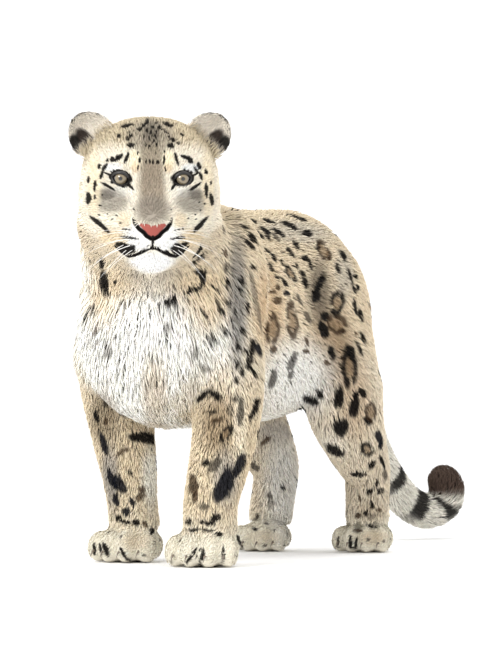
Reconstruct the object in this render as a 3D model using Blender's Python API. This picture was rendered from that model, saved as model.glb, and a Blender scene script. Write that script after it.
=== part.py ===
"""A life-size snow leopard in winter coat, standing still with its head turned to its left.

Metres, +Z up. The animal faces -Y and its own left side is +X. The sizes are those of the
outside of the coat. The body is one lump of clay, fused from lofts and ellipsoids, and thin
flat cuts part it into the head, neck, chest, abdomen, legs and tail.
"""

import math
import random

import bmesh
import bpy
from mathutils import Euler, Matrix, Vector
from mathutils.bvhtree import BVHTree

GAP = 0.0003
FLOOR = 0.0
NO_TURN = Matrix.Identity(4)
BOTH_SIDES = (1, -1)

# The model is drawn with its origin under the shoulders, then moved so that the origin lies
# under the middle of the whole animal.
MIDDLE = Vector((-0.002, 0.488, 0.0))

# Torso: distance back from the shoulders, height of back and belly, half width.
TORSO = (
    (-0.126, 0.430, 0.320, 0.050),
    (-0.104, 0.490, 0.268, 0.100),
    (-0.055, 0.560, 0.244, 0.134),
    (0.000, 0.600, 0.228, 0.146),
    (0.070, 0.616, 0.228, 0.148),
    (0.150, 0.615, 0.230, 0.144),
    (0.230, 0.610, 0.230, 0.140),
    (0.310, 0.612, 0.236, 0.139),
    (0.390, 0.618, 0.244, 0.138),
    (0.460, 0.622, 0.256, 0.134),
    (0.510, 0.614, 0.275, 0.128),
    (0.560, 0.591, 0.310, 0.114),
    (0.610, 0.560, 0.360, 0.090),
    (0.650, 0.527, 0.410, 0.060),
    (0.676, 0.497, 0.446, 0.030),
)

# Shoulder, haunch and thigh muscles on the left side, mirrored to the right:
# centre, half sizes, and the turn about X in degrees.
MUSCLES = (
    ((0.098, 0.036, 0.450), (0.064, 0.092, 0.150), -12),
    ((0.112, 0.020, 0.350), (0.056, 0.078, 0.090), 10),
    ((0.066, 0.518, 0.436), (0.064, 0.101, 0.138), 20),
)

# Each leg as stations down its length: centre, half width, half depth.
LEGS = {
    "foreleg_left": (
        (0.098, 0.022, 0.430, 0.058, 0.080),
        (0.112, 0.016, 0.320, 0.060, 0.076),
        (0.117, 0.000, 0.225, 0.055, 0.060),
        (0.108, -0.012, 0.155, 0.049, 0.052),
        (0.100, -0.020, 0.105, 0.045, 0.047),
        (0.090, -0.002, 0.055, 0.046, 0.048),
    ),
    "foreleg_right": (
        (-0.100, 0.045, 0.430, 0.060, 0.080),
        (-0.116, 0.050, 0.320, 0.062, 0.076),
        (-0.111, 0.060, 0.225, 0.055, 0.058),
        (-0.103, 0.069, 0.155, 0.048, 0.050),
        (-0.102, 0.078, 0.105, 0.043, 0.045),
        (-0.104, 0.092, 0.055, 0.044, 0.047),
    ),
    "hindleg_left": (
        (0.070, 0.520, 0.440, 0.056, 0.100),
        (0.088, 0.500, 0.340, 0.062, 0.112),
        (0.100, 0.498, 0.282, 0.061, 0.114),
        (0.102, 0.530, 0.226, 0.053, 0.086),
        (0.099, 0.573, 0.182, 0.046, 0.066),
        (0.096, 0.606, 0.148, 0.041, 0.052),
        (0.095, 0.609, 0.108, 0.040, 0.044),
        (0.095, 0.609, 0.055, 0.041, 0.044),
    ),
    "hindleg_right": (
        (-0.070, 0.520, 0.440, 0.056, 0.100),
        (-0.090, 0.505, 0.340, 0.062, 0.118),
        (-0.098, 0.508, 0.282, 0.058, 0.102),
        (-0.098, 0.545, 0.226, 0.050, 0.080),
        (-0.096, 0.590, 0.184, 0.045, 0.062),
        (-0.094, 0.614, 0.150, 0.041, 0.051),
        (-0.093, 0.602, 0.108, 0.040, 0.045),
        (-0.092, 0.584, 0.055, 0.041, 0.044),
    ),
}

# Each paw: the point on the floor under its toes, its turn outwards in degrees, its size
# against a fore paw's.
PAWS = {
    "foreleg_left": ((0.087, -0.028), 14, 1.00),
    "foreleg_right": ((-0.110, 0.056), -2, 1.00),
    "hindleg_left": ((0.095, 0.580), 6, 0.90),
    "hindleg_right": ((-0.091, 0.532), -2, 0.90),
}

# A fore paw, turned to face -Y, about the floor under its toes: each toe's sideways and
# forward place, and the palm behind them.
TOES = ((-0.043, -0.008), (-0.0155, 0.010), (0.0155, 0.010), (0.043, -0.008))
TOE_HALF = (0.0185, 0.033, 0.030)
TOE_HEIGHT = 0.025
PALM_CENTRE = (0.0, 0.040, 0.028)
PALM_HALF = (0.055, 0.052, 0.038)

# Tail: centre line and radius, from inside the rump to the tip.
TAIL = (
    (0.000, 0.590, 0.530, 0.052),
    (0.001, 0.660, 0.480, 0.048),
    (-0.002, 0.745, 0.402, 0.042),
    (-0.022, 0.820, 0.330, 0.038),
    (-0.045, 0.890, 0.265, 0.036),
    (-0.064, 0.970, 0.197, 0.036),
    (-0.068, 1.040, 0.140, 0.036),
    (-0.059, 1.110, 0.086, 0.036),
    (-0.034, 1.165, 0.056, 0.037),
    (-0.008, 1.195, 0.070, 0.038),
    (0.000, 1.198, 0.098, 0.038),
    (-0.004, 1.196, 0.114, 0.036),
)

# Neck: centre line, half width, half depth, from inside the chest to inside the head.
NECK = (
    (-0.002, 0.070, 0.458, 0.138, 0.122),
    (0.000, 0.010, 0.488, 0.137, 0.116),
    (0.010, -0.045, 0.520, 0.132, 0.112),
    (0.034, -0.095, 0.562, 0.116, 0.104),
)

# Head: the place of its middle, its turn to the left and nod in degrees, its scale.
HEAD_MIDDLE = Vector((0.051, -0.138, 0.604))
HEAD_TURN = 31
HEAD_NOD = 3
HEAD_SCALE = 1.0

# Head in its own axes, facing -Y, as upright sections from the nose to the nape: how far
# forward, height of top and bottom, half width and the height of the widest place.
HEAD_SECTIONS = (
    (0.124, -0.044, -0.068, 0.016, -0.056),
    (0.116, -0.034, -0.094, 0.031, -0.066),
    (0.102, -0.014, -0.112, 0.045, -0.070),
    (0.086, 0.008, -0.118, 0.055, -0.070),
    (0.072, 0.036, -0.120, 0.068, -0.055),
    (0.058, 0.066, -0.121, 0.085, -0.035),
    (0.040, 0.094, -0.121, 0.100, -0.015),
    (0.016, 0.118, -0.119, 0.111, -0.010),
    (-0.012, 0.131, -0.116, 0.116, -0.010),
    (-0.042, 0.131, -0.114, 0.117, -0.010),
    (-0.072, 0.118, -0.110, 0.112, -0.005),
    (-0.100, 0.098, -0.100, 0.098, 0.000),
    (-0.120, 0.070, -0.080, 0.074, 0.000),
)
HEAD_SQUARENESS = 2.4

# Lumps on the head: centre, half sizes, nod in degrees. Those with a sideways centre are
# mirrored.
HEAD_CLAY = (
    ((0.000, -0.066, -0.010), (0.030, 0.048, 0.030), 34),
    ((0.000, -0.110, -0.049), (0.027, 0.019, 0.018), 30),
    ((0.027, -0.095, -0.070), (0.030, 0.028, 0.025), 8),
    ((0.000, -0.089, -0.105), (0.031, 0.024, 0.019), 0),
    ((0.047, -0.030, 0.048), (0.038, 0.033, 0.027), -15),
    ((0.058, -0.036, -0.020), (0.034, 0.034, 0.034), 0),
    ((0.088, 0.020, -0.044), (0.031, 0.046, 0.050), 0),
)

EYE_CENTRE = Vector((0.0500, -0.0520, 0.0250))
EYE_RADIUS = 0.0165
LID_THICKNESS = 0.0034
LID_HALF_OPENING = (0.0148, 0.0100)
LID_SLANT = 14
EYE_OUTWARDS = 9
EYE_RINGS = 9

# Mouth and nose in the front view of the head: sideways and up, left half.
LIP_LINE = (
    (0.000, -0.0820),
    (0.014, -0.0880),
    (0.028, -0.0920),
    (0.042, -0.0880),
    (0.054, -0.0780),
)
PHILTRUM_LINE = ((0.000, -0.0680), (0.000, -0.0830))
MOUTH_GROOVE = 0.0017
NOSTRIL_CENTRE = Vector((0.0145, -0.1200, -0.0560))
NOSTRIL_HALF = (0.0062, 0.0090, 0.0042)
NOSTRIL_SLANT = 35

# Ear in its own axes: base at the origin, tip along +Z, opening towards -Y.
EAR_BASE = Vector((0.081, 0.012, 0.084))
EAR_LEAN = 42
EAR_TURN = 10
EAR_HEIGHT = 0.062
EAR_HALF_WIDTH = 0.039
EAR_CUP = 0.022
EAR_THICKNESS = 0.0065
EAR_ROOT_SHARE = -0.35
EAR_TIP_SHARE = 0.98
EAR_GRID = (8, 8)

# Long coat as flat tapered locks that overlap like tiles. Stations of a lock, by shares of its
# length, width and thickness.
LOCK_STATIONS = ((0.0, 0.60, 0.90), (0.35, 1.00, 1.00), (0.70, 0.70, 0.75), (1.0, 0.10, 0.25))
LOCK_SEED = 7
LOCK_STRAY = 9
LOCK_BEND = 0.12
LOCK_VARIED = (0.84, 1.14)

# Breast: rows from the throat down, each with its height, how far round it goes to each side
# in degrees, and its number of locks.
BIB_AXIS_Y = 0.010
BIB_LOCK = {"length": 0.074, "width": 0.027, "thickness": 0.009, "lift": 0.009, "sink": 0.009}
BIB_ROWS = (
    (0.430, 54, 8),
    (0.402, 58, 9),
    (0.374, 60, 10),
    (0.346, 60, 9),
    (0.320, 24, 5),
    (0.294, 20, 4),
    (0.268, 18, 4),
)
BIB_SPREAD = 0.25

# Belly: rows along both its edges, by their turn from straight down about a level axis.
FRINGE_AXIS_Z = 0.400
FRINGE_LOCK = {"length": 0.064, "width": 0.028, "thickness": 0.009, "lift": 0.008, "sink": 0.009}
FRINGE_SPAN = (0.190, 0.385)
FRINGE_TURNS = (26, 44)
FRINGE_COUNT = 8
FRINGE_LIE = Vector((0.0, 0.8, -0.6))

# Cheeks: rows down both sides of the head, each by how far forward it is, its first and last
# turn from straight down, and its number of locks.
RUFF_AXIS_Z = -0.020
RUFF_LOCK = {"length": 0.046, "width": 0.018, "thickness": 0.007, "lift": 0.004, "sink": 0.007}
RUFF_ROWS = ((0.026, 58, 104, 4), (0.002, 46, 108, 5), (-0.022, 40, 100, 5))
RUFF_LIE = Vector((0.15, 0.45, -0.85))

# Places where the body is parted: a point on the cut and the way that it faces.
HEAD_CUT = (Vector((0.037, -0.078, 0.560)), Vector((0.26, -0.80, 0.30)))
NECK_CUT = (Vector((0.006, -0.030, 0.520)), Vector((0.05, -0.62, 0.78)))
MIDDLE_CUT_Y = 0.215
TAIL_CUT_Y = 0.700
FORELEG_TOP_Z = 0.300
FORELEG_INNER_X = 0.050
FORELEG_SPAN_Y = {"left": (-0.066, 0.084), "right": (-0.012, 0.134)}
FORELEG_INNER_FACING = Vector((0.98, 0.0, -0.20))
FORELEG_FRONT_FACING = Vector((0.0, 0.97, -0.23))
FORELEG_REAR_FACING = Vector((0.0, -0.99, -0.12))
HINDLEG_FRONT_Y = 0.250
HIP_CUT = (Vector((0.0, 0.400, 0.245)), Vector((0.0, 0.574, -0.819)))
PAW_CUT_Z = 0.078
SHANK_CUT_Z = 0.228
TAIL_UPPER_CUT_Z = 0.300
TAIL_LOWER_CUT_Z = 0.168
TAIL_BEND_CUT = (Vector((-0.046, 1.140, 0.076)), Vector((0.55, 0.83, 0.0)))

# The lengths that a leg is parted into, from the top down, and the heights of the partings.
LEG_LENGTHS = {"foreleg": ("foreleg", "forepaw"), "hindleg": ("thigh", "shank", "hindpaw")}
LEG_PARTINGS_Z = {"foreleg": (PAW_CUT_Z,), "hindleg": (SHANK_CUT_Z, PAW_CUT_Z)}

BODY_VOXEL = 0.007
BODY_SMOOTHING = 7
BODY_TRIANGLES = 4500
HEAD_VOXEL = 0.003
HEAD_SMOOTHING = 14
HEAD_TRIANGLES = 2200

COLOURS = {
    "coat": ((0.62, 0.56, 0.47), 0.85),
    "eye": ((0.36, 0.33, 0.22), 0.08),
}


def clear_scene():
    """Remove every object of the startup scene."""
    for obj in list(bpy.data.objects):
        bpy.data.objects.remove(obj)


def material(name):
    """The finish with that name, made once."""
    found = bpy.data.materials.get(name)
    if found:
        return found
    colour, roughness = COLOURS[name]
    made = bpy.data.materials.new(name)
    made.use_nodes = True
    shader = made.node_tree.nodes["Principled BSDF"]
    shader.inputs["Base Color"].default_value = (*colour, 1.0)
    shader.inputs["Roughness"].default_value = roughness
    shader.inputs["Metallic"].default_value = 0.0
    return made


def new_object(name, bm, finish="coat"):
    """An object that holds the bmesh, which is freed."""
    mesh = bpy.data.meshes.new(name)
    bmesh.ops.recalc_face_normals(bm, faces=bm.faces)
    bm.to_mesh(mesh)
    bm.free()
    mesh.materials.append(material(finish))
    obj = bpy.data.objects.new(name, mesh)
    bpy.context.scene.collection.objects.link(obj)
    return obj


def apply_modifiers(obj):
    """Replace the object's mesh by its evaluated one."""
    bpy.context.view_layer.update()
    graph = bpy.context.evaluated_depsgraph_get()
    mesh = bpy.data.meshes.new_from_object(obj.evaluated_get(graph))
    obj.modifiers.clear()
    old = obj.data
    obj.data = mesh
    bpy.data.meshes.remove(old)
    return obj


def mirrored(point):
    """The same point on the other side of the middle plane."""
    return Vector((-point[0], point[1], point[2]))


def add_ellipsoid(bm, centre, half_sizes, turn=NO_TURN, place=NO_TURN, fineness=4):
    """A closed ellipsoid in the bmesh."""
    size = Matrix.Diagonal((*half_sizes, 1.0))
    matrix = place @ Matrix.Translation(Vector(centre)) @ turn @ size
    bmesh.ops.create_icosphere(bm, subdivisions=fineness, radius=1.0, matrix=matrix)


def add_loft(bm, rings):
    """Bridge closed rings of points, one after the other, and cap both ends."""
    made = [[bm.verts.new(point) for point in ring] for ring in rings]
    count = len(made[0])
    for lower, upper in zip(made, made[1:]):
        for i in range(count):
            j = (i + 1) % count
            bm.faces.new((lower[i], lower[j], upper[j], upper[i]))
    bm.faces.new(list(reversed(made[0])))
    bm.faces.new(made[-1])


def ring(centre, across, up, half_width, half_height, sides=32):
    """Points of an ellipse in the plane of two unit vectors."""
    turns = [2 * math.pi * i / sides for i in range(sides)]
    return [
        centre + across * (half_width * math.cos(t)) + up * (half_height * math.sin(t))
        for t in turns
    ]


def torso_rings():
    """The torso's upright sections, rounder above than below."""
    rings = []
    for y, top, bottom, half_width in TORSO:
        centre = Vector((0.0, y, (top + bottom) / 2))
        half_height = (top - bottom) / 2
        rings.append(ring(centre, Vector((1, 0, 0)), Vector((0, 0, 1)), half_width, half_height))
    return rings


def tube_rings(stations, sides=24):
    """Sections square to a centre line. A station is x, y, z, half width and half depth."""
    points = [Vector(s[:3]) for s in stations]
    rings = []
    for i, station in enumerate(stations):
        ahead = points[min(i + 1, len(points) - 1)]
        behind = points[max(i - 1, 0)]
        along = (ahead - behind).normalized()
        across = (Vector((1, 0, 0)) - along * along.x).normalized()
        up = along.cross(across)
        half_depth = station[4] if len(station) > 4 else station[3]
        rings.append(ring(points[i], across, up, station[3], half_depth, sides))
    return rings


def eased(stations, steps=4):
    """More stations on a smooth curve through the given ones."""
    knots = [Vector(s) if len(s) == 3 else s for s in stations]
    size = len(knots[0])
    out = []
    for i in range(len(knots) - 1):
        a, b = knots[max(i - 1, 0)], knots[i]
        c, d = knots[i + 1], knots[min(i + 2, len(knots) - 1)]
        for step in range(steps):
            t = step / steps
            out.append(tuple(_catmull_rom(a[k], b[k], c[k], d[k], t) for k in range(size)))
    out.append(tuple(knots[-1]))
    return out


def _catmull_rom(a, b, c, d, t):
    """Value at t on the curve from b to c, with a and d on either side."""
    return 0.5 * (
        2 * b + (c - a) * t + (2 * a - 5 * b + 4 * c - d) * t**2 + (3 * b - a - 3 * c + d) * t**3
    )


def add_paw(bm, name):
    """Four toes and a palm, sunk a little below the floor that cuts them flat."""
    (x, y), turn, size = PAWS[name]
    outwards = turn if x > 0 else -turn
    place = Matrix.Translation((x, y, FLOOR)) @ Matrix.Rotation(math.radians(outwards), 4, "Z")
    place = place @ Matrix.Scale(size, 4)
    add_ellipsoid(bm, PALM_CENTRE, PALM_HALF, place=place)
    for side, forward in TOES:
        splay = Matrix.Rotation(side * 5.0, 4, "Z")
        add_ellipsoid(bm, (side, -forward, TOE_HEIGHT), TOE_HALF, splay, place)


def head_place():
    """The matrix from the head's own axes to the model's."""
    turn = Euler((math.radians(HEAD_NOD), 0.0, math.radians(HEAD_TURN))).to_matrix().to_4x4()
    return Matrix.Translation(HEAD_MIDDLE) @ turn @ Matrix.Scale(HEAD_SCALE, 4)


def head_rings():
    """The head's sections, each a rounded square."""
    rings = []
    power = 2 / HEAD_SQUARENESS
    for forward, top, bottom, half_width, widest in HEAD_SECTIONS:
        points = []
        for i in range(40):
            turn = 2 * math.pi * i / 40
            sideways = math.copysign(abs(math.cos(turn)) ** power, math.cos(turn))
            rise = top - widest if math.sin(turn) > 0 else widest - bottom
            up = math.copysign(abs(math.sin(turn)) ** power, math.sin(turn))
            local = Vector((half_width * sideways, -forward, widest + rise * up))
            points.append(head_place() @ local)
        rings.append(points)
    return rings


def add_head_clay(bm):
    """The head's sections and lumps, both sides, in the model's axes."""
    add_loft(bm, head_rings())
    for centre, half_sizes, nod in HEAD_CLAY:
        turn = Matrix.Rotation(math.radians(nod), 4, "X")
        add_ellipsoid(bm, centre, half_sizes, turn, head_place())
        if centre[0]:
            add_ellipsoid(bm, mirrored(centre), half_sizes, turn, head_place())


def add_body_clay(bm):
    """Torso, muscles, neck, legs, paws and tail."""
    add_loft(bm, torso_rings())
    for centre, half_sizes, tilt in MUSCLES:
        turn = Matrix.Rotation(math.radians(tilt), 4, "X")
        add_ellipsoid(bm, centre, half_sizes, turn)
        add_ellipsoid(bm, mirrored(centre), half_sizes, turn)
    for name, stations in LEGS.items():
        add_loft(bm, tube_rings(eased(stations)))
        add_paw(bm, name)
    add_loft(bm, tube_rings(eased(TAIL)))
    tip = TAIL[-1]
    add_ellipsoid(bm, tip[:3], [tip[3]] * 3)
    add_loft(bm, tube_rings(NECK))


def fused(name, bm, voxel, smoothing, triangles):
    """One closed skin round all the clay, its creases eased, in about so many triangles."""
    obj = new_object(name, bm)
    remesh = obj.modifiers.new("Fuse", "REMESH")
    remesh.mode = "VOXEL"
    remesh.voxel_size = voxel
    smooth = obj.modifiers.new("Ease", "SMOOTH")
    smooth.factor = 0.5
    smooth.iterations = smoothing
    apply_modifiers(obj)
    count = sum(len(face.vertices) - 2 for face in obj.data.polygons)
    fewer = obj.modifiers.new("Fewer", "DECIMATE")
    fewer.ratio = min(1.0, triangles / count)
    return apply_modifiers(obj)


def boolean(obj, other, operation, solver="EXACT"):
    """Cut or join the object with another, and remove the other."""
    modifier = obj.modifiers.new(operation.title(), "BOOLEAN")
    modifier.operation = operation
    modifier.solver = solver
    modifier.object = other
    apply_modifiers(obj)
    bpy.data.objects.remove(other)
    keep_largest(obj)
    return obj


def keep_largest(obj):
    """Keep only the object's largest closed surface."""
    bm = bmesh.new()
    bm.from_mesh(obj.data)
    bm.faces.ensure_lookup_table()
    seen = set()
    islands = []
    for face in bm.faces:
        if face.index in seen:
            continue
        island, todo = [], [face]
        seen.add(face.index)
        while todo:
            here = todo.pop()
            island.append(here)
            for edge in here.edges:
                for near in edge.link_faces:
                    if near.index not in seen:
                        seen.add(near.index)
                        todo.append(near)
        islands.append(island)
    islands.sort(key=len)
    for island in islands[:-1]:
        bmesh.ops.delete(bm, geom=island, context="FACES")
    loose = [vert for vert in bm.verts if not vert.link_faces]
    bmesh.ops.delete(bm, geom=loose, context="VERTS")
    bm.to_mesh(obj.data)
    bm.free()


def cell(name, cuts, grow=0.0):
    """A closed block of the space that lies beyond every cut, moved out by grow."""
    bm = bmesh.new()
    bmesh.ops.create_cube(bm, size=8.0)
    for point, facing in cuts:
        normal = facing.normalized()
        bmesh.ops.bisect_plane(
            bm,
            geom=bm.verts[:] + bm.edges[:] + bm.faces[:],
            plane_co=point - normal * grow,
            plane_no=normal,
            clear_inner=True,
        )
        rim = [edge for edge in bm.edges if edge.is_boundary]
        bmesh.ops.holes_fill(bm, edges=rim)
    return new_object(name, bm)


def cut(obj, cuts, operation, grow=0.0):
    """Take a cell away from the object, or keep only what lies in it.

    MANIFOLD does this, because EXACT finds no inside in a body that has its locks.
    """
    return boolean(obj, cell("cutter", cuts, grow), operation, "MANIFOLD")


def add_lock(bm, root, normal, lie, size, varied):
    """One flat tapered lock: its root is sunk in the surface, and its tip lies on the next."""
    stray = Matrix.Rotation(math.radians(varied.uniform(-LOCK_STRAY, LOCK_STRAY)), 3, normal)
    along = stray @ (lie - normal * lie.dot(normal)).normalized()
    sideways = along.cross(normal).normalized()
    length = size["length"] * varied.uniform(*LOCK_VARIED)
    half_width = size["width"] / 2 * varied.uniform(*LOCK_VARIED)
    half_depth = size["thickness"] / 2
    bend = sideways * (length * varied.uniform(-LOCK_BEND, LOCK_BEND))
    rings = []
    for share, breadth, depth in LOCK_STATIONS:
        rise = size["lift"] * share - size["sink"] * (1 - share) ** 2
        centre = root + along * (length * share) + normal * rise + bend * share**2
        rings.append(ring(centre, sideways, normal, half_width * breadth, half_depth * depth, 4))
    add_loft(bm, rings)


def locks(tree, rows, size):
    """Closed objects, one for each lock, where rays meet the surface."""
    varied = random.Random(LOCK_SEED)
    made = []
    for start, aim, lie in rows:
        root, normal, _, _ = tree.ray_cast(start, aim)
        if root is None:
            continue
        bm = bmesh.new()
        add_lock(bm, root, normal, lie, size, varied)
        made.append(new_object("lock", bm))
    return made


def bib_rays():
    """Rays onto the breast, from in front, and the way each lock hangs."""
    for height, sweep, count in BIB_ROWS:
        for i in range(count):
            turn = math.radians(-sweep + 2 * sweep * i / (count - 1))
            outwards = Vector((math.sin(turn), -math.cos(turn), 0.0))
            start = Vector((0.0, BIB_AXIS_Y, height)) + outwards
            yield start, -outwards, Vector((BIB_SPREAD * outwards.x, 0.0, -1.0))


def fringe_rays():
    """Rays onto both edges of the belly, from below, and the way each lock hangs."""
    first, last = FRINGE_SPAN
    for side in BOTH_SIDES:
        for angle in FRINGE_TURNS:
            turn = math.radians(angle)
            outwards = Vector((side * math.sin(turn), 0.0, -math.cos(turn)))
            for i in range(FRINGE_COUNT):
                y = first + (last - first) * i / (FRINGE_COUNT - 1)
                yield Vector((0.0, y, FRINGE_AXIS_Z)) + outwards, -outwards, FRINGE_LIE


def ruff_rays():
    """Rays onto both cheeks, and the way each lock lies."""
    place = head_place()
    turned = place.to_3x3()
    for forward, first, last, count in RUFF_ROWS:
        for side in BOTH_SIDES:
            lie = turned @ Vector((side * RUFF_LIE.x, RUFF_LIE.y, RUFF_LIE.z))
            for i in range(count):
                turn = math.radians(first + (last - first) * i / (count - 1))
                outwards = Vector((side * math.sin(turn), 0.0, -math.cos(turn)))
                start = place @ (Vector((0.0, -forward, RUFF_AXIS_Z)) + outwards)
                yield start, -(turned @ outwards), lie


def with_locks(obj, made):
    """Join all the locks to the object they grow from."""
    grown = bpy.data.collections.new("grown")
    for lock in made:
        grown.objects.link(lock)
    modifier = obj.modifiers.new("Grown", "BOOLEAN")
    modifier.operation = "UNION"
    modifier.operand_type = "COLLECTION"
    modifier.solver = "MANIFOLD"
    modifier.collection = grown
    apply_modifiers(obj)
    for lock in made:
        bpy.data.objects.remove(lock)
    bpy.data.collections.remove(grown)
    keep_largest(obj)
    return obj


def copy_of(obj, name):
    """Another object with its own copy of the mesh."""
    made = bpy.data.objects.new(name, obj.data.copy())
    bpy.context.scene.collection.objects.link(made)
    return made


def above(z):
    """A level cut that keeps what is above."""
    return (Vector((0, 0, z)), Vector((0, 0, 1)))


def below(z):
    """A level cut that keeps what is below."""
    return (Vector((0, 0, z)), Vector((0, 0, -1)))


def across(axis, value, facing):
    """A cut square to X or Y that keeps the side with that sign."""
    point, normal = Vector((0, 0, 0)), Vector((0, 0, 0))
    point["XY".index(axis)] = value
    normal["XY".index(axis)] = facing
    return (point, normal)


def turned_back(cut):
    """The same cut, facing the other way."""
    return (cut[0], -cut[1])


def leg_cells():
    """The cuts that bound each leg where it leaves the trunk."""
    cells = {}
    for side, sign in (("left", 1), ("right", -1)):
        front, rear = (Vector((0, y, FORELEG_TOP_Z)) for y in FORELEG_SPAN_Y[side])
        inner = Vector((sign * FORELEG_INNER_X, 0, FORELEG_TOP_Z))
        inner_facing = FORELEG_INNER_FACING if sign == 1 else mirrored(FORELEG_INNER_FACING)
        cells[f"foreleg_{side}"] = [
            (inner, inner_facing),
            (front, FORELEG_FRONT_FACING),
            (rear, FORELEG_REAR_FACING),
            below(FORELEG_TOP_Z),
        ]
        cells[f"hindleg_{side}"] = [
            HIP_CUT,
            across("X", 0.0, sign),
            across("Y", HINDLEG_FRONT_Y, 1),
            across("Y", TAIL_CUT_Y, -1),
        ]
    return cells


def lengths(cell_cuts, parting_cuts):
    """Split one cell into several along it: each length lies between two partings."""
    out = []
    for i in range(len(parting_cuts) + 1):
        cuts = list(cell_cuts)
        if i > 0:
            cuts.append(parting_cuts[i - 1])
        if i < len(parting_cuts):
            cuts.append(turned_back(parting_cuts[i]))
        out.append(cuts)
    return out


def node_cells():
    """Each node that is cut from the body, with the cuts that bound it."""
    cells = {}
    for leg, cuts in leg_cells().items():
        kind, side = leg.split("_")
        partings = [below(z) for z in LEG_PARTINGS_Z[kind]]
        for name, part_cuts in zip(LEG_LENGTHS[kind], lengths(cuts, partings)):
            cells[f"{name}_{side}"] = part_cuts
    tail = [across("Y", TAIL_CUT_Y, 1)]
    cells["tail_root"] = tail + [above(TAIL_UPPER_CUT_Z)]
    cells["tail_middle"] = tail + [below(TAIL_UPPER_CUT_Z), above(TAIL_LOWER_CUT_Z)]
    cells["tail_bend"] = tail + [below(TAIL_LOWER_CUT_Z), turned_back(TAIL_BEND_CUT)]
    cells["tail_tip"] = tail + [below(TAIL_LOWER_CUT_Z), TAIL_BEND_CUT]
    cells["neck"] = [NECK_CUT, turned_back(HEAD_CUT)]
    return cells


def trunk_nodes(body):
    """Chest and abdomen: the body less the neck, legs and tail."""
    trunk = copy_of(body, "trunk")
    whole_cells = list(leg_cells().values()) + [[NECK_CUT], [across("Y", TAIL_CUT_Y, 1)]]
    for cuts in whole_cells:
        cut(trunk, cuts, "DIFFERENCE", GAP)
    middle = across("Y", MIDDLE_CUT_Y, -1)
    chest = cut(copy_of(trunk, "chest"), [middle], "INTERSECT")
    abdomen = cut(copy_of(trunk, "abdomen"), [turned_back(middle)], "INTERSECT", -GAP)
    bpy.data.objects.remove(trunk)
    return {"chest": chest, "abdomen": abdomen}


def body_nodes():
    """Every node of the body but the head, ears and eyes."""
    bm = bmesh.new()
    add_body_clay(bm)
    add_head_clay(bm)
    body = fused("body", bm, BODY_VOXEL, BODY_SMOOTHING, BODY_TRIANGLES)
    cut(body, [above(FLOOR)], "INTERSECT")
    tree = surface_of(body)
    with_locks(body, locks(tree, bib_rays(), BIB_LOCK) + locks(tree, fringe_rays(), FRINGE_LOCK))
    nodes = trunk_nodes(body)
    for name, cuts in node_cells().items():
        nodes[name] = cut(copy_of(body, name), cuts, "INTERSECT", -GAP / 2)
    bpy.data.objects.remove(body)
    return nodes


def surface_of(obj):
    """A tree for finding points on the object's surface."""
    bpy.context.view_layer.update()
    return BVHTree.FromObject(obj, bpy.context.evaluated_depsgraph_get())


def on_face(tree, sideways, up):
    """The point of the head's front that lies there in the front view."""
    place = head_place()
    start = place @ Vector((sideways, -0.4, up))
    facing = (place.to_3x3() @ Vector((0, 1, 0))).normalized()
    return tree.ray_cast(start, facing)[0]


def groove(tree, line):
    """A thin tube along a line in the front view of the head, half sunk in its surface."""
    points = [on_face(tree, *station) for station in eased(line, 3)]
    rings = []
    place = head_place().to_3x3()
    up, forward = place @ Vector((0, 0, 1)), place @ Vector((0, -1, 0))
    for i, point in enumerate(points):
        along = (points[min(i + 1, len(points) - 1)] - points[max(i - 1, 0)]).normalized()
        across = along.cross(forward if abs(along.dot(up)) > 0.7 else up).normalized()
        rings.append(ring(point, across, along.cross(across), MOUTH_GROOVE, MOUTH_GROOVE, 6))
    bm = bmesh.new()
    add_loft(bm, rings)
    return new_object("groove", bm)


def mouth_grooves(tree):
    """The line between the lips from corner to corner, and the one up to the nose."""
    right_half = [(-sideways, up) for sideways, up in reversed(LIP_LINE[1:])]
    lips = groove(tree, right_half + list(LIP_LINE))
    return boolean(lips, groove(tree, PHILTRUM_LINE), "UNION")


def eye_turn(side):
    """The turn of an eye's lids: slanted down to the nose, and facing a little outwards."""
    outwards = Matrix.Rotation(math.radians(side * EYE_OUTWARDS), 4, "Z")
    return outwards @ Matrix.Rotation(math.radians(-side * LID_SLANT), 4, "Y")


def eye_place(side):
    """The matrix from an eye's own axes, facing -Y, to the model's."""
    centre = Vector((side * EYE_CENTRE.x, EYE_CENTRE.y, EYE_CENTRE.z))
    return head_place() @ Matrix.Translation(centre) @ eye_turn(side)


def eyeballs(name, sides, radius, finish="coat"):
    """Round balls about the eyes' middles, their poles facing forwards."""
    turn = Matrix.Rotation(math.radians(90), 4, "X")
    bm = bmesh.new()
    for side in sides:
        bmesh.ops.create_uvsphere(
            bm,
            u_segments=2 * EYE_RINGS,
            v_segments=EYE_RINGS,
            radius=radius,
            matrix=eye_place(side) @ turn,
        )
    return new_object(name, bm, finish)


def almond(steps=8):
    """Points round the opening between the lids: where two round discs cross."""
    half_width, half_height = LID_HALF_OPENING
    radius = (half_width**2 + half_height**2) / (2 * half_height)
    rise = radius - half_height
    sweep = math.atan2(half_width, rise)
    points = []
    for sign in (1, -1):
        for i in range(steps):
            t = sweep - 2 * sweep * i / steps
            points.append((sign * radius * math.sin(t), sign * (radius * math.cos(t) - rise)))
    return points


def lid_openings():
    """Almond-shaped rods through the lids."""
    bm = bmesh.new()
    for side in BOTH_SIDES:
        depths = (-2 * EYE_RADIUS, 0.0)
        add_loft(bm, [[eye_place(side) @ Vector((u, y, v)) for u, v in almond()] for y in depths])
    return new_object("openings", bm)


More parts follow.
